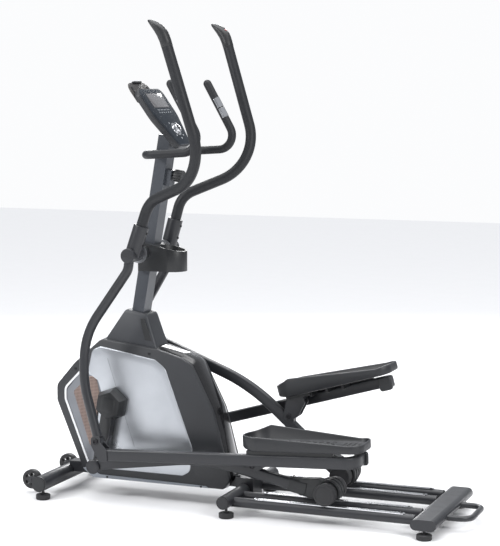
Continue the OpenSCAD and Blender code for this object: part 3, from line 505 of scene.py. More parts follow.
def brushed_finish():
    """Polished steel with fine streaks along the rail."""
    mat = finish("brushed_rail", (0.74, 0.75, 0.77, 1), (0.6, 0.61, 0.63, 1), (0.16, 0.32), 900, 0.05, 1.0,
                 dust=0)
    tree = mat.node_tree
    shader = tree.nodes["Principled BSDF"]
    coords = tree.nodes.new("ShaderNodeTexCoord").outputs["Object"]
    stretch = tree.nodes.new("ShaderNodeMapping")
    stretch.inputs["Scale"].default_value = (3, 900, 900)
    tree.links.new(coords, stretch.inputs["Vector"])
    streaks = noise(tree, stretch.outputs["Vector"], 1.0, 2.0, 0.6)
    bump = tree.nodes.new("ShaderNodeBump")
    bump.inputs["Distance"].default_value = 0.0002
    bump.inputs["Strength"].default_value = 0.12
    tree.links.new(streaks.outputs["Fac"], bump.inputs["Height"])
    tree.links.new(bump.outputs["Normal"], shader.inputs["Normal"])
    return mat


def screen_finish():
    """A switched-off grey display behind a clear window."""
    mat = finish("lcd", (0.17, 0.165, 0.17, 1), (0.135, 0.132, 0.136, 1), (0.12, 0.2), 40, 0.02, coat=1.0,
                 dust=0.02)
    mat.node_tree.nodes["Principled BSDF"].inputs["Coat Roughness"].default_value = 0.04
    return mat


FINISH = {
    "powder": finish("powder_coat", (0.012, 0.013, 0.016, 1), (0.019, 0.020, 0.024, 1),
                     (0.36, 0.46), 1500, 0.12, 0.0, 0.1),
    "mast_coat": finish("mast_coat", (0.045, 0.050, 0.060, 1), (0.058, 0.064, 0.075, 1),
                        (0.36, 0.46), 1500, 0.12, 0.2, 0.1),
    "shell": finish("shell_grain", (0.020, 0.021, 0.024, 1), (0.028, 0.030, 0.034, 1),
                    (0.40, 0.52), 1800, 0.18),
    "boot": finish("boot_grain", (0.030, 0.032, 0.037, 1), (0.040, 0.043, 0.049, 1),
                   (0.40, 0.52), 1800, 0.18),
    "silver": finish("silver_lacquer", (0.50, 0.52, 0.55, 1), (0.43, 0.45, 0.48, 1),
                     (0.26, 0.38), 3000, 0.04, 0.85, 0.3, 0.03),
    "white_trim": finish("white_trim", (0.80, 0.81, 0.83, 1), (0.74, 0.75, 0.77, 1),
                         (0.25, 0.35), 1500, 0.05, 0.1, 0.3, 0.03),
    "band": finish("grey_band", (0.22, 0.23, 0.25, 1), (0.18, 0.19, 0.21, 1),
                   (0.35, 0.5), 1500, 0.12, 0.3),
    "trim": finish("base_trim", (0.27, 0.29, 0.32, 1), (0.22, 0.24, 0.27, 1),
                   (0.35, 0.5), 1500, 0.12, 0.2),
    "gloss": finish("gloss_black", (0.007, 0.007, 0.008, 1), (0.011, 0.011, 0.012, 1),
                    (0.12, 0.2), 600, 0.03, 0.0, 0.6, 0.05),
    "copper": mesh_finish(),
    "plastic": finish("black_plastic", (0.010, 0.011, 0.012, 1), (0.016, 0.017, 0.019, 1),
                      (0.38, 0.5), 1600, 0.2),
    "pedal": finish("pedal_plastic", (0.012, 0.013, 0.015, 1), (0.019, 0.020, 0.023, 1),
                    (0.40, 0.54), 1400, 0.25, 0.0, 0.0, 0.25),
    "foam": finish("foam_grip", (0.011, 0.012, 0.014, 1), (0.018, 0.019, 0.022, 1),
                   (0.44, 0.58), 1100, 0.35, 0.0, 0.0, 0.1, 0.35),
    "rubber": finish("wheel_rubber", (0.010, 0.010, 0.011, 1), (0.017, 0.017, 0.019, 1),
                     (0.45, 0.6), 1000, 0.2),
    "chrome": finish("chrome", (0.85, 0.86, 0.88, 1), (0.78, 0.79, 0.81, 1),
                     (0.06, 0.14), 500, 0.02, 1.0, 0, 0),
    "rail": brushed_finish(),
    "face": finish("console_film", (0.016, 0.021, 0.029, 1), (0.020, 0.026, 0.034, 1),
                   (0.42, 0.5), 1200, 0.06, 0.0, 0.0, 0.03, 0.35),
    "lcd": screen_finish(),
    "tablet": finish("tablet_plate", (0.024, 0.021, 0.020, 1), (0.032, 0.028, 0.026, 1),
                     (0.42, 0.55), 1500, 0.2),
    "icon": finish("printed_icons", (0.55, 0.57, 0.60, 1), (0.42, 0.44, 0.47, 1),
                   (0.4, 0.5), 900, 0.05, dust=0),
    "steel": finish("turned_steel", (0.45, 0.46, 0.48, 1), (0.36, 0.37, 0.39, 1),
                    (0.25, 0.42), 800, 0.1, 1.0),
    "iron": finish("painted_iron", (0.09, 0.09, 0.10, 1), (0.13, 0.13, 0.14, 1),
                   (0.45, 0.6), 600, 0.4, 0.5),
    "belt": finish("belt_rubber", (0.015, 0.015, 0.016, 1), (0.025, 0.025, 0.027, 1),
                   (0.55, 0.7), 800, 0.3),
    "red": finish("red_button", (0.52, 0.022, 0.016, 1), (0.42, 0.016, 0.012, 1),
                  (0.2, 0.32), 900, 0.05, 0, 0.4),
    "bolt": finish("black_oxide", (0.018, 0.018, 0.020, 1), (0.035, 0.035, 0.038, 1),
                   (0.3, 0.45), 900, 0.1, 0.7),
}
BY_SLOT = {
    "charcoal_frame": "powder", "rail_steel": "rail", "bright_chrome": "chrome", "charcoal_shell": "shell",
    "silver_panel": "silver", "copper_mesh": "copper", "gloss_black": "gloss", "grey_trim": "trim",
    "black_plastic": "plastic", "foam_grip": "foam", "wheel_rubber": "rubber", "console_face": "face",
    "lcd": "lcd", "tablet_plate": "tablet", "pedal_plastic": "pedal", "machined_steel": "steel",
    "cast_iron": "iron", "belt_rubber": "belt", "red_button": "red", "bolt_black": "bolt",
}
for part in frame["record"]["subparts"]:
    shown = frame["nodes"][part["node"]]
    shown.data.materials.clear()
    shown.data.materials.append(FINISH[BY_SLOT[part["material_slot"]]])
frame["nodes"]["mast"].data.materials[0] = FINISH["mast_coat"]


# =========================================================== studio
def pale_floor():
    mesh = bpy.data.meshes.new("floor")
    h = FLOOR_HALF
    mesh.from_pydata([(-h, -h, 0), (h, -h, 0), (h, h, 0), (-h, h, 0)], [], [(0, 1, 2, 3)])
    mesh.materials.append(finish("pale_floor", (0.93, 0.93, 0.94, 1), (0.91, 0.91, 0.92, 1), (0.7, 0.8),
                                 300, 0.02, dust=0, specular=0.2))
    ground = bpy.data.objects.new("floor", mesh)
    bpy.context.scene.collection.objects.link(ground)


def backdrop_world():
    """A soft dome of light that the camera sees as a plain pale backdrop."""
    world = bpy.data.worlds.new("studio")
    bpy.context.scene.world = world
    world.use_nodes = True
    tree = world.node_tree
    backdrop, dome = tree.nodes["Background"], tree.nodes.new("ShaderNodeBackground")
    backdrop.inputs["Color"].default_value = (0.97, 0.975, 0.985, 1)
    dome.inputs["Color"].default_value = (0.92, 0.95, 1.0, 1)
    dome.inputs["Strength"].default_value = 0.42
    seen, either = tree.nodes.new("ShaderNodeLightPath"), tree.nodes.new("ShaderNodeMixShader")
    tree.links.new(seen.outputs["Is Camera Ray"], either.inputs["Fac"])
    tree.links.new(dome.outputs["Background"], either.inputs[1])
    tree.links.new(backdrop.outputs["Background"], either.inputs[2])
    tree.links.new(either.outputs["Shader"], tree.nodes["World Output"].inputs["Surface"])


def lights():
    sky = bpy.data.lights.new("sky", "SUN")
    sky.energy, sky.angle = SKY_POWER, SKY_ANGLE
    bpy.context.scene.collection.objects.link(bpy.data.objects.new("sky", sky))
    for name, spot, size, power in SOFT_BOXES:
        lamp = bpy.data.lights.new(name, "AREA")
        lamp.size = size
        lamp.energy = power
        holder = bpy.data.objects.new(name, lamp)
        holder.location = spot
        aim = LIGHT_TARGET - Vector(spot)
        holder.rotation_euler = aim.to_track_quat("-Z", "Y").to_euler()
        bpy.context.scene.collection.objects.link(holder)


def camera():
    lens = bpy.data.cameras.new("camera")
    lens.lens = LENS_MM
    lens.clip_end = 60
    view = bpy.data.objects.new("camera", lens)
    level = math.cos(CAMERA_ELEVATION)
    back = Vector((math.sin(CAMERA_AZIMUTH) * level, -math.cos(CAMERA_AZIMUTH) * level,
                   math.sin(CAMERA_ELEVATION)))
    view.location = CAMERA_TARGET + back * CAMERA_DISTANCE
    view.rotation_euler = (-back).to_track_quat("-Z", "Y").to_euler()
    bpy.context.scene.collection.objects.link(view)
    bpy.context.scene.camera = view


bpy.context.scene.view_settings.view_transform = "Standard"
pale_floor()
backdrop_world()
lights()
camera()

# =========================================================== drive housing
HOUSING = rounded([(-733, 392), (-733, 334), (-630, 88), (-586, 58), (-76, 58), (-50, 92), (-113, 331),
                   (-150, 404), (-198, 498), (-240, 518), (-333, 544), (-551, 570), (-660, 476)],
                  [34, 26, 22, 16, 10, 24, 160, 120, 36, 40, 60, 34, 46])


def housing():
    face, edge = HOUSING_Y, HOUSING_Y - COVER_DEPTH
    for side in SIDES:
        make(side.node("cover_shell"),
             stack(HOUSING, [(1.2, edge + 0.4), (0, edge + 1.6), (0, face - 5), (1.4, face - 1.6),
                             (4.5, face)]),
             side.flat, ROOT, "shell", replaced=[side.node("cover")])
        silver = rounded([(-586, 528), (-552, 543), (-338, 507), (-298, 478), (-193, 196), (-203, 112),
                          (-232, 95), (-580, 95), (-565, 290), (-549, 368), (-566, 424), (-606, 438)],
                         [30, 22, 16, 46, 40, 26, 18, 8, 200, 40, 26, 14])
        make(side.node("silver_panel"),
             crowned(silver, [(0, face - 1), (0, face + 0.8), (1.2, face + 2), (4, face + 2.8)], 2.6),
             side.flat, ROOT, "silver")
        # A thin dark grey strip laid on the silver panel along its crease: painted shade for the fold, since
        # the panel itself is built without a crease.
        painted_crease_shade = [(-523, face + 4.1, 501), (-471, face + 5.3, 344), (-419, face + 4.5, 187)]
        make(side.node("panel_crease"), tube(bent(painted_crease_shade, [900]), 0.7, 8), side.flat, ROOT, "band")
        grey_field = rounded([(-690, 377), (-636, 440), (-600, 447), (-566, 431), (-549, 371), (-570, 300),
                              (-583, 118), (-599, 108), (-690, 342)], [24, 14, 12, 20, 30, 60, 8, 8, 22])
        make(side.node("grey_field"), stack(grey_field, [(0, face - 1), (0, face + 0.6), (1, face + 1.2)]),
             side.flat, ROOT, "band")
        copper = rounded([(-664, 371), (-600, 431), (-571, 431), (-557, 368), (-590, 150)],
                         [14, 18, 16, 26, 8])
        make(side.node("mesh_panel"),
             crowned(copper, [(0, face), (0, face + 1.6), (1, face + 2.2)], 0.8), side.flat, ROOT, "copper")
        corners = [(-634, 447), (-696, 383), (-696, 341), (-601, 100), (-584, 104)]
        ribbon = bent([(x, face + 1, z) for x, z in corners], [30, 26, 9])
        make(side.node("white_line"), sweep(ribbon, oblong(8, 4, 1.8), up=(0, 1, 0)), side.flat, ROOT,
             "white_trim")
        bulge = circle(52, 48, -145, 141)
        make(side.node("belt_bulge"), crowned(bulge, [(0, face - 1), (1, face + 0.2)], 4), side.flat, ROOT,
             "shell")
    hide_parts("side_panels")
    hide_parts("mesh_inserts")


def spine():
    """The gloss band between the covers, crowned over the rear and the top."""
    half = HOUSING_Y - COVER_DEPTH
    section = [(y, 1 - (abs(y) / half) ** 2.6) for y in [half * (k / 8 - 1) for k in range(17)]]
    n = len(HOUSING)
    points = []
    for i, p in enumerate(HOUSING):
        t = (HOUSING[(i + 1) % n] - HOUSING[i - 1]).normalized()
        out = Vector((t.y, -t.x))
        if out.dot(p - Vector((-390, 300))) < 0:
            out = -out
        rear = min(max((p.x + 420) / 160, 0), 1) * min(max((p.y - 70) / 60, 0), 1)
        crown = 2.5 + 10 * rear
        points += [(p.x + out.x * crown * k, y, p.y + out.y * crown * k) for y, k in section]
        points += [(p.x - out.x * 4, y, p.y - out.y * 4) for y, _ in reversed(section)]
    m = 2 * len(section)
    faces = [(i * m + k, i * m + (k + 1) % m, (i + 1) % n * m + (k + 1) % m, (i + 1) % n * m + k)
             for i in range(n) for k in range(m)]
    make("spine_band", (points, faces), place(), ROOT, "gloss", replaced=["spine_cover"], sharp=50)


def boot():
    """The tapered collar that joins the housing to the mast, with an outlined panel on each side."""
    rings = []
    for t, shrink in ((0, 0), (0.93, 0), (0.98, 1.5), (1, 4)):
        front = Vector((-548 + 84 * t + shrink, 560 + 118 * t))
        rear = Vector((-332 - 46 * t - shrink, 538 + 126 * t))
        half = 53 - 7 * t - shrink
        for a, b in rounded([(0, -half), (0, half), (200, half), (200, -half)], 12, 6):
            spot = front.lerp(rear, a / 200)
            rings.append((spot.x, b, spot.y))
    make("boot_shell", (rings, bridge(4, len(rings) // 4)), place(), ROOT, "boot", replaced=["mast_boot"],
         sharp=40)
    for side in SIDES:
        loop = rounded([(-505, 588), (-455, 655), (-405, 646), (-388, 573)], 10)
        line = [(p.x, 51.2 - 7 * (p.y - 560) / 118, p.y) for p in loop]
        make(side.node("boot_inset"), sweep(line, circle(0.9, 8), closed=True, up=(0, 1, 0)), side.flat, ROOT,
             "gloss")
        rear = rounded([(-384, 570), (-402, 650), (-385, 648), (-352, 560)], 5)
        make(side.node("boot_rear"), stack(rear, [(0, 43), (0, 50.6), (1, 51.4)]), side.flat, ROOT, "plastic")


# =========================================================== mast, console and fixed bar
def layered(outline, levels):
    """An outline on the console's face built up through levels of (inset, height out of the face)."""
    points = [(p.x, p.y, n) for d, n in levels for p in (inset(outline, d) if d else outline)]
    return points, bridge(len(levels), len(outline))


def turned(profile, down=KNOB_DOWN, n=48):
    """A profile of (radius, height) turned about a line out of the console's face."""
    angles = [2 * math.pi * k / n for k in range(n)]
    points = [(down + r * math.cos(a), r * math.sin(a), out) for r, out in profile for a in angles]
    return points, bridge(len(profile), n)


def console():
    plan = [(0, -95), (0, 95), (118, 95), (245, 47), (245, -47), (118, -95)]
    outline = rounded(plan, [30, 30, 90, 24, 24, 90], 10)
    make("console_body", layered(outline, [(9, -30), (3, -28.5), (0, -24), (0, -9), (1, -7.4), (2.4, -7)]),
         console_place, ROOT, "shell", replaced=["console_shell"], sharp=40)
    make("console_film", layered(outline, [(3.4, -8), (3.4, -2.4), (4.2, -0.8), (6.5, 0)]), console_place,
         ROOT, "face", replaced=["console_face"], sharp=40)
    window = rounded([(24, -64), (24, 64), (86, 64), (86, -64)], 4)
    make("screen_frame", layered(window, [(0, -0.4), (0, 0.5), (1.5, 0.6), (2.4, 0.1)]), console_place, ROOT,
         "gloss")
    glass = rounded([(26, -62), (26, 62), (84, 62), (84, -62)], 2)
    make("screen_glass", layered(glass, [(0, -0.2), (0, 0.4), (0.6, 0.7)]), console_place, ROOT, "lcd",
         replaced=["console_screen"])
    icons = []
    for corners, count, size, down in ((3, 8, 3.4, 95), (6, 6, 2.6, 106)):
        for k in range(count):
            y = -44 + 88 * k / (count - 1)
            icons.append(circle(size, corners, down, y, math.pi * (k % 2)))
    for k in range(4):
        a = math.radians(45 + 90 * k)
        icons.append(circle(3, 12, KNOB_DOWN + 37 * math.cos(a), 37 * math.sin(a)))
    icons.append(circle(3.4, 16, 216, 0))
    make("console_icons", many(*[layered(icon, [(0, -0.2), (0.2, 0.35)]) for icon in icons]), console_place,
         ROOT, "icon")
    make("knob_well", turned([(26, -0.3), (26, 0.5), (24, 0.9), (19, 0.2), (19, -0.3)]), console_place, ROOT,
         "chrome")
    make("knob_body",
         turned([(17, 0.6), (17, 8), (16, 10.6), (14, 11.8), (11, 12.2), (10.4, 11.4), (2, 11.2)]),
         console_place, "console_knob_set", "chrome", replaced=["console_knob"])
    make("knob_insert", turned([(10.2, 10.5), (10.2, 11.6), (8, 12.1), (1, 12.3)]), console_place,
         "console_knob_set", "plastic")
    plate = rounded([(-44, -86), (-44, 86), (40, 86), (40, -86)], [38, 38, 4, 4], 10)
    make("tablet_plate", layered(plate, [(1.2, -34.4), (0, -33.6), (0, -31), (1.5, -30.2)]), console_place,
         ROOT, "tablet", replaced=["tablet_holder"])
    lip = rounded([(-47, -34), (-47, 34), (-40, 34), (-40, -34)], 3)
    make("tablet_clip", layered(lip, [(0, -32), (0, -25), (1.2, -23.5)]), console_place, ROOT, "plastic")
    feet = [block((-26, y - 5, -30.4), (8, y + 5, -27.5)) for y in (-62, 62)]
    make("tablet_pads", many(*feet), console_place, ROOT, "rubber", bevel=1.2)


def fixed_bar():
    """The foam-covered bar with two upright arms, rounded off at its ends."""
    arm = [(-228, FIXED_Y, 1481), (-99, FIXED_Y, 1252), (-338, FIXED_Y, 1236)]
    line = bent(arm + [(x, -y, z) for x, y, z in reversed(arm)], [52, 45, 45, 52], 14)
    tips = 5

    def cap(end, before):
        out = (end - before).normalized()
        return [end + out * FOAM_R * math.sin(math.pi / 2 * k / tips) for k in range(1, tips + 1)]

    line = list(reversed(cap(line[0], line[1]))) + line + cap(line[-1], line[-2])
    total = len(line)

    def thin(t):
        i = round(t * (total - 1))
        k = min(i, total - 1 - i)
        return max(math.cos(math.pi / 2 * (tips - k) / tips), 0.05) if k < tips else 1

    make("fixed_bar_foam", sweep(line, circle(FOAM_R, 28), scale=thin), place(), ROOT, "foam",
         replaced=["fixed_handlebar", "fixed_grips"], sharp=60)
    down = (Vector(arm[1]) - Vector(arm[0])).normalized()
    out = Vector((-down.z, 0, down.x)) * -1
    for side in SIDES:
        plates = []
        turns = [math.radians(-100 + 10 * k) for k in range(21)]
        arc = [(math.sin(t) * (FOAM_R + 0.8), math.cos(t) * (FOAM_R + 0.8)) for t in turns]
        arc += [(x * 0.93, y * 0.93) for x, y in reversed(arc)]
        for low, high in ((62, 98), (102, 138)):
            a, b = Vector(arm[0]) + down * low, Vector(arm[0]) + down * high
            plates.append(sweep([a, a + down, b - down, b], arc, up=tuple(-out)))
        make(side.node("pulse_sensors"), many(*plates), side.flat, ROOT, "chrome", bevel=0.4,
             replaced=["pulse_plates"] if side is LEFT else ())


# =========================================================== handlebars and lower arms
def handlebars():
    elbow, tip = Vector((275, SLEEVE_Y + 0.71 * (TIP_Y - SLEEVE_Y), 340)), Vector((82.5, TIP_Y - 6, 747))
    line = bent([(17.5, SLEEVE_Y, 106.6), (31.9, SLEEVE_Y, 194.7), elbow, tip], [150, 180], 22)
    for side in SIDES:
        body = side.node("handlebar_set")
        make(side.node("foam"), sweep(line, circle(GRIP_R, 36), up=(0, 1, 0)), side.bar, body, "foam",
             replaced=[side.node("handlebar"), side.node("grip")], sharp=60)
        bpy.data.objects[side.node("foam")]
        grip_tip(side, body, tip, (tip - elbow).normalized())
        low = [(0, 172, -10), (3, 174, -52), (-118, 190, -311), (-89, 201, -479),
               (-2, HINGE_Y, 12 - SHAFT_DROP)]
        make(side.node("lower_tube"), tube(bent(low, [60, 330, 380], 16), LOWER_R, 32), side.bar, body,
             "powder", replaced=[side.node("lower_arm")], sharp=60)
        sleeve_a, sleeve_b = Vector((0, SLEEVE_Y, 0)), Vector((17.8, SLEEVE_Y, 108.6))
        step = (sleeve_b - sleeve_a).normalized()
        rim = [sleeve_a, sleeve_b - step * 3, sleeve_b - step * 0.8, sleeve_b]
        make(side.node("sleeve"), sweep(rim, circle(27.5, 40), up=(0, 1, 0),
                                        scale=lambda t: 1 if t < 0.5 else 0.985 if t < 0.9 else 0.93),
             side.bar, body, "powder", sharp=50)
        make(side.node("barrel"),
             lathe([(20, 106.4), (24, 106.4), (25, 107.6), (25, 186), (26, 187), (26, 191.5), (24.5, 193.6),
                    (22, 194)]),
             side.bar, body, "powder", sharp=40)
        cap_line = block((-21, 193.6, -1.6), (21, 194.6, 1.6))
        make(side.node("barrel_cap_line"), cap_line, side.bar, body, "plastic", bevel=0.4)
        eye = [(19, 195), (19, 196), (19, 218), (19, 219)]
        make(side.node("arm_eye"), lathe(eye, 0, -SHAFT_DROP), side.bar, body, "powder", bevel=1)
        head, head_faces = lathe([(4.4, 0), (4.4, 3.2), (3.6, 4)], n=20)
        seats = [Vector((0.16 * up + 27, SLEEVE_Y, up)) for up in (40, 84)]
        bolts = [([(seat.x + y, seat.y + x, seat.z + z) for x, y, z in head], head_faces) for seat in seats]
        make(side.node("sleeve_bolts"), many(*bolts), side.bar, body, "bolt")


def grip_tip(side, body, base, along):
    """The moulded end: it flares forward into a horn, and its domed top slopes down to the rear."""
    rings = []
    # distance along the grip, tilt of the ring in degrees, its two radii, shift forward
    levels = ((-6, 0, 18.6, 18.6, 0), (-5, 0, 19.6, 19.6, 0), (14, 4, 19.8, 19.6, 0),
              (32, 12, 21.5, 19.8, -2), (46, 21, 25, 20, -6), (57, 30, 30, 20, -11),
              (64, 36, 33.5, 19.5, -15), (68, 39, 34.2, 18.6, -16), (71, 41, 31.5, 16.4, -15),
              (73.4, 42, 24, 12, -11), (74.6, 42, 14, 7, -6))
    for t, tilt, rx, ry, shift in levels:
        centre = base + along * t + Vector((shift, 0, 0))
        lean = math.radians(tilt - 25)
        for k in range(40):
            u, v = rx * math.cos(2 * math.pi * k / 40), ry * math.sin(2 * math.pi * k / 40)
            rings.append(centre + Vector((u * math.cos(lean), v, -u * math.sin(lean))))
    make(side.node("grip_tip"), (rings, bridge(len(levels), 40)), side.bar, body, "plastic", sharp=60)


# =========================================================== pedal arms and pedals
def pedal_arms():
    z = TUBE_Z
    for side in SIDES:
        body = side.node("pedal_arm_set")
        run = bent([(38, HINGE_Y, z), (947, HINGE_Y, z), (947, 120, z)], [85], 16)
        make(side.node("pedal_tube"), sweep(run, oblong(30, 40, 6)), side.pedal, body, "powder",
             replaced=[side.node("pedal_arm")], sharp=50)
        cap = rounded([(923, z - 24), (971, z - 24), (971, z + 24), (923, z + 24)], 10, 3)
        make(side.node("tube_cap"), stack(cap, [(3, 112), (0, 115), (0, 122), (3, 125)]), side.pedal, body,
             "plastic")
        ears = []
        plan = rounded([(-19, 19), (19, 19), (19, -6), (42, z + 18), (42, z - 21), (8, z - 21), (-19, -14)],
                       [18.5, 18.5, 10, 6, 3, 8, 10], 8)
        for y in (188.8, 219.3):
            ears.append(stack(plan, [(0.8, y), (0, y + 0.8), (0, y + 5.2), (0.8, y + 6)]))
        ears.append(block((26, 190, z - 20), (41, 224, z + 20)))
        make(side.node("clevis"), many(*ears), side.pedal, body, "powder")
        head = lathe([(9.5, 225.2), (9.5, 230), (8.4, 231), (5, 231), (4.6, 228)], n=32)
        make(side.node("hinge_bolt"), head, side.pedal, body, "bolt")
        bracket(side, body)
        pedal(side, body)


def bracket(side, body):
    """The two plates that hang from the pedal to the roller arm, and the ribs under the pedal."""
    lx, lz, z = side.link_x, side.link_z, TUBE_Z
    plan = rounded([(lx - 18, lz - 12), (lx - 18, lz + 10), (lx + 8, z + 24), (lx + 74, z + 24),
                    (lx + 74, z - 2), (lx + 36, lz - 8), (lx + 10, lz - 17)], [14, 12, 8, 8, 10, 8, 12], 7)
    plates = [stack(plan, [(0.8, y), (0, y + 0.8), (0, y + 5.2), (0.8, y + 6)]) for y in (117.7, 152.3)]
    plates.append(block((lx + 20, 123, z + 10), (lx + 72, 153, z + 23)))
    make(side.node("bracket"), many(*plates), side.pedal, body, "powder", bevel=0.8)
    ribs = [block((lx + 8, 118, z + 20), (lx + 100, 205, z + 34))]
    for k in range(4):
        x = lx + 34 + 62 * k
        ribs.append(block((x, 126, z + 14), (x + 9, 206, z + 34)))
    ribs.append(block((lx + 4, 198, z + 18), (lx + 316, 214, z + 34)))
    make(side.node("pedal_ribs"), many(*ribs), side.pedal, body, "plastic", bevel=1.2)
    pin = [lathe([(9, 158.4), (9, 162), (8, 163), (4.6, 163), (4.4, 160.6)], lx, lz, 32),
           lathe([(4.4, 114.6), (4.6, 112.4), (8, 112.4), (9, 113.4), (9, 117.6)], lx, lz, 32)]
    make(side.node("link_bolt"), many(*pin), side.pedal, body, "bolt")


def smooth(t):
    """Eases from 0 to 1."""
    t = min(max(t, 0), 1)
    return t * t * (3 - 2 * t)


def wall_height(x, across):
    """Height of the tray's rim above its underside; across is -1 at the inner side and 1 at the outer."""
    outer = 50 - 28 * smooth((x - 120) / 150) + 8 * smooth((x - 330) / 80)
    inner = 46 + 28 * smooth(x / 110) - 46 * smooth((x - 170) / 230) + 4 * smooth((x - 390) / 50)
    return outer + (inner - outer) * smooth((1 - across) / 2)


def pedal(side, body):
    """The foot tray, with a round toe, nearly straight sides and a squarer heel, and its treads."""
    half = PEDAL_W / 2
    rim = rounded([(0, -half), (0, half), (PEDAL_L, half), (PEDAL_L, -half)], [70, 70, 46, 46], 30)
    levels = [("base", 9, 0.0), ("base", 3, 1.5), ("base", 0, 6.0), ("top", 0, -3.5), ("top", 1.2, -0.9),
              ("top", 3.2, 0), ("top", 5.6, -0.9), ("top", 6.8, -3.5), ("floor", 8.2, 4.5),
              ("floor", 12, 0.8), ("floor", 16, 0)]
    points = []
    for kind, d, dz in levels:
        for i, p in enumerate(inset(rim, d) if d else rim):
            q = rim[i]
            top = wall_height(q.x, q.y / half)
            toe_lift = 5 * smooth((60 - q.x) / 60)
            z = {"base": dz + toe_lift, "top": top + dz, "floor": min(14 + dz, top - 2)}[kind]
            points.append((PEDAL_START + p.x, PEDAL_Y + p.y, PEDAL_BASE + z))
    make(side.node("tray"), (points, bridge(len(levels), len(rim))), side.pedal, body, "pedal",
         replaced=[side.node("pedal")], sharp=60)
    treads = []
    ring = [math.pi * k / 6 for k in range(12)]
    for row in range(11):
        x = 70 + row * 24
        for col in range(5):
            y = (col - 2) * 23
            lean = 0.6 if (row + col) % 2 else -0.6
            a = math.cos(lean) * 8, math.sin(lean) * 8
            line = [(PEDAL_START + x - a[0], PEDAL_Y + y - a[1], PEDAL_BASE + 14.4),
                    (PEDAL_START + x + a[0], PEDAL_Y + y + a[1], PEDAL_BASE + 14.4)]
            treads.append(sweep(line, oblong(4, 3, 1.2, 2)))
    for row in range(4):
        for col in range(7):
            x, y = 352 + row * 17, (col - 3) * 16 + (8 if row % 2 else 0)
            if abs(y) < 56:
                dot = [(4.2, 0), (4.2, 1), (3.2, 1.9), (1, 2.3)]
                knob = [(PEDAL_START + x + r * math.cos(a), PEDAL_Y + y + r * math.sin(a),
                         PEDAL_BASE + 13.8 + h) for r, h in dot for a in ring]
                treads.append((knob, bridge(len(dot), len(ring))))
    make(side.node("tread"), many(*treads), side.pedal, body, "rubber", sharp=50)


# =========================================================== roller arms and rollers
def roller_arms():
    nose, peak = Vector((-0.7, ARM_Y, 4.85)), Vector((435.5, ARM_Y, 71.6))
    fall = math.radians(-10.7)

    def past_peak(d):
        return peak + Vector((math.cos(fall), 0, math.sin(fall))) * d

    tail = past_peak(330)
    for side in SIDES:
        body = side.node("roller_arm_set")
        make(side.node("roller_tube"), sweep(bent([nose, peak, tail], [660], 24), oblong(28, 38, 6)),
             side.arm, body, "powder", replaced=[side.node("roller_arm")], sharp=50)
        make(side.node("pin_boss"),
             lathe([(20, 122.6), (24, 122.8), (25, 124), (25, 152), (26, 153), (26, 158), (24, 160),
                    (18, 161)]),
             side.arm, body, "powder", sharp=40)
        ear = rounded([(578, 40), (596, 70), (605, 78), (619, 78), (630, 66), (650, 30)],
                      [10, 10, 9, 9, 10, 10])
        make(side.node("link_ear"), stack(ear, [(0.8, 124.2), (0, 125), (0, 151), (0.8, 151.8)]), side.arm,
             body, "powder")
        sleeve = sweep([past_peak(d) for d in (316, 320, 376, 380)], oblong(38, 48, 8))
        make(side.node("arm_sleeve"), sleeve, side.arm, body, "plastic", bevel=1.5)
        hub_cover(side, body)
        roller_pair(side)


def hub_cover(side, body):
    """The curved fender between the two wheels, with raised ribs round it."""
    solids = []
    n = 26
    for y0, y1, r in ((104.6, 167.4, 43), (110, 114, 45), (134, 138, 45), (158, 162, 45)):
        outer = [Vector((ARM_L + r * math.cos(a), r * math.sin(a)))
                 for a in [math.radians(-25 + 235 * k / n) for k in range(n + 1)]]
        inner = [Vector((ARM_L + (r - 4) * math.cos(a), (r - 4) * math.sin(a)))
                 for a in [math.radians(210 - 235 * k / n) for k in range(n + 1)]]
        solids.append(stack(outer + inner, [(0, y0), (0, y1)]))
    make(side.node("fender"), many(*solids), side.arm, body, "plastic", bevel=1)
    web = rounded([(780, -20), (780, 34), (850, 42), (900, 30), (900, -24), (850, -30)], 12)
    make(side.node("fender_web"), stack(web, [(1, 122), (0, 123), (0, 153), (1, 154)]), side.arm, body,
         "plastic")


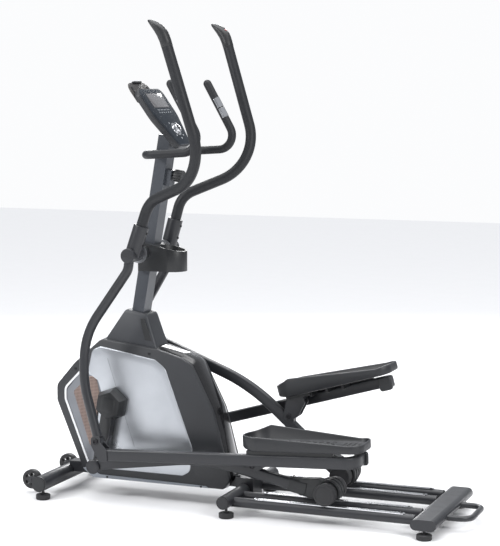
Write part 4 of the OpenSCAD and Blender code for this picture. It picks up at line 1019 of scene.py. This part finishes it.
def roller_pair(side):
    """Two rubber wheels with three grooves each, one on either side of the arm, on one axle."""
    body = side.node("roller_set")
    for name, y0, y1 in (("outer", 168, 206), ("inner", 104, 66)):
        s = 1 if y1 > y0 else -1
        r = ROLLER_R
        profile = [(14, y0 + s), (r - 4, y0 + s), (r - 1, y0 + 2 * s), (r, y0 + 5 * s)]
        for k in range(3):
            y = y0 + s * (12 + 7 * k)
            profile += [(r, y - s), (r - 1, y - 0.4 * s), (r - 1, y + 0.4 * s), (r, y + s)]
        profile += [(r, y1 - 4 * s), (r - 1.5, y1 - 1.2 * s), (r - 4, y1), (r - 7, y1), (r - 8, y1 - 1.4 * s),
                    (r - 10, y1 - 1.4 * s), (20, y1 + 0.4 * s), (4, y1 + 1.2 * s)]
        make(side.node(f"{name}_wheel"), lathe(profile, ARM_L, 0, 56), side.arm, body, "rubber",
             replaced=[side.node("rollers")])
    axle = lathe([(8, 104.2), (8, 168)], ARM_L, 0, 32)
    make(side.node("roller_axle"), axle, side.arm, body, "steel")


# =========================================================== cranks
def cranks():
    hexagon = rounded(circle(62, 6), 9, 5)
    for side in SIDES:
        make(side.node("crank_hex"),
             crowned(hexagon, [(2, 72), (0, 73), (0, 92), (3, 98), (9, 115), (11, 118)], 1.4, 4),
             side.crank, "crank_set", "plastic", sharp=40, replaced=["crank_covers"] if side is LEFT else ())
        panel = rounded([(-30, -28), (26, -28), (26, 28), (-30, 28)], 12, 6)
        make(side.node("crank_panel"), crowned(panel, [(0, 117), (0, 118.8), (1.4, 119.4)], 0.6, 3),
             side.crank, "crank_set", "plastic")
        neck = rounded([(20, -24), (112, -22), (134, -17), (134, 17), (112, 22), (20, 24)],
                       [4, 20, 8, 8, 20, 4])
        make(side.node("crank_neck"), stack(neck, [(1, 76), (0, 77), (0, 110), (3, 115), (6, 116.4)]),
             side.crank, "crank_set", "plastic")


housing()
spine()
boot()
console()
fixed_bar()
handlebars()
pedal_arms()
roller_arms()
cranks()

soften_cad(1.5, "mast", "cup_holder", "rail_clamp", "rear_crossbar", "stabiliser_caps", "clamp_knob",
           "crank_arms", "left_transport_wheel", "right_transport_wheel", "pivot_shaft", "front_stabiliser")
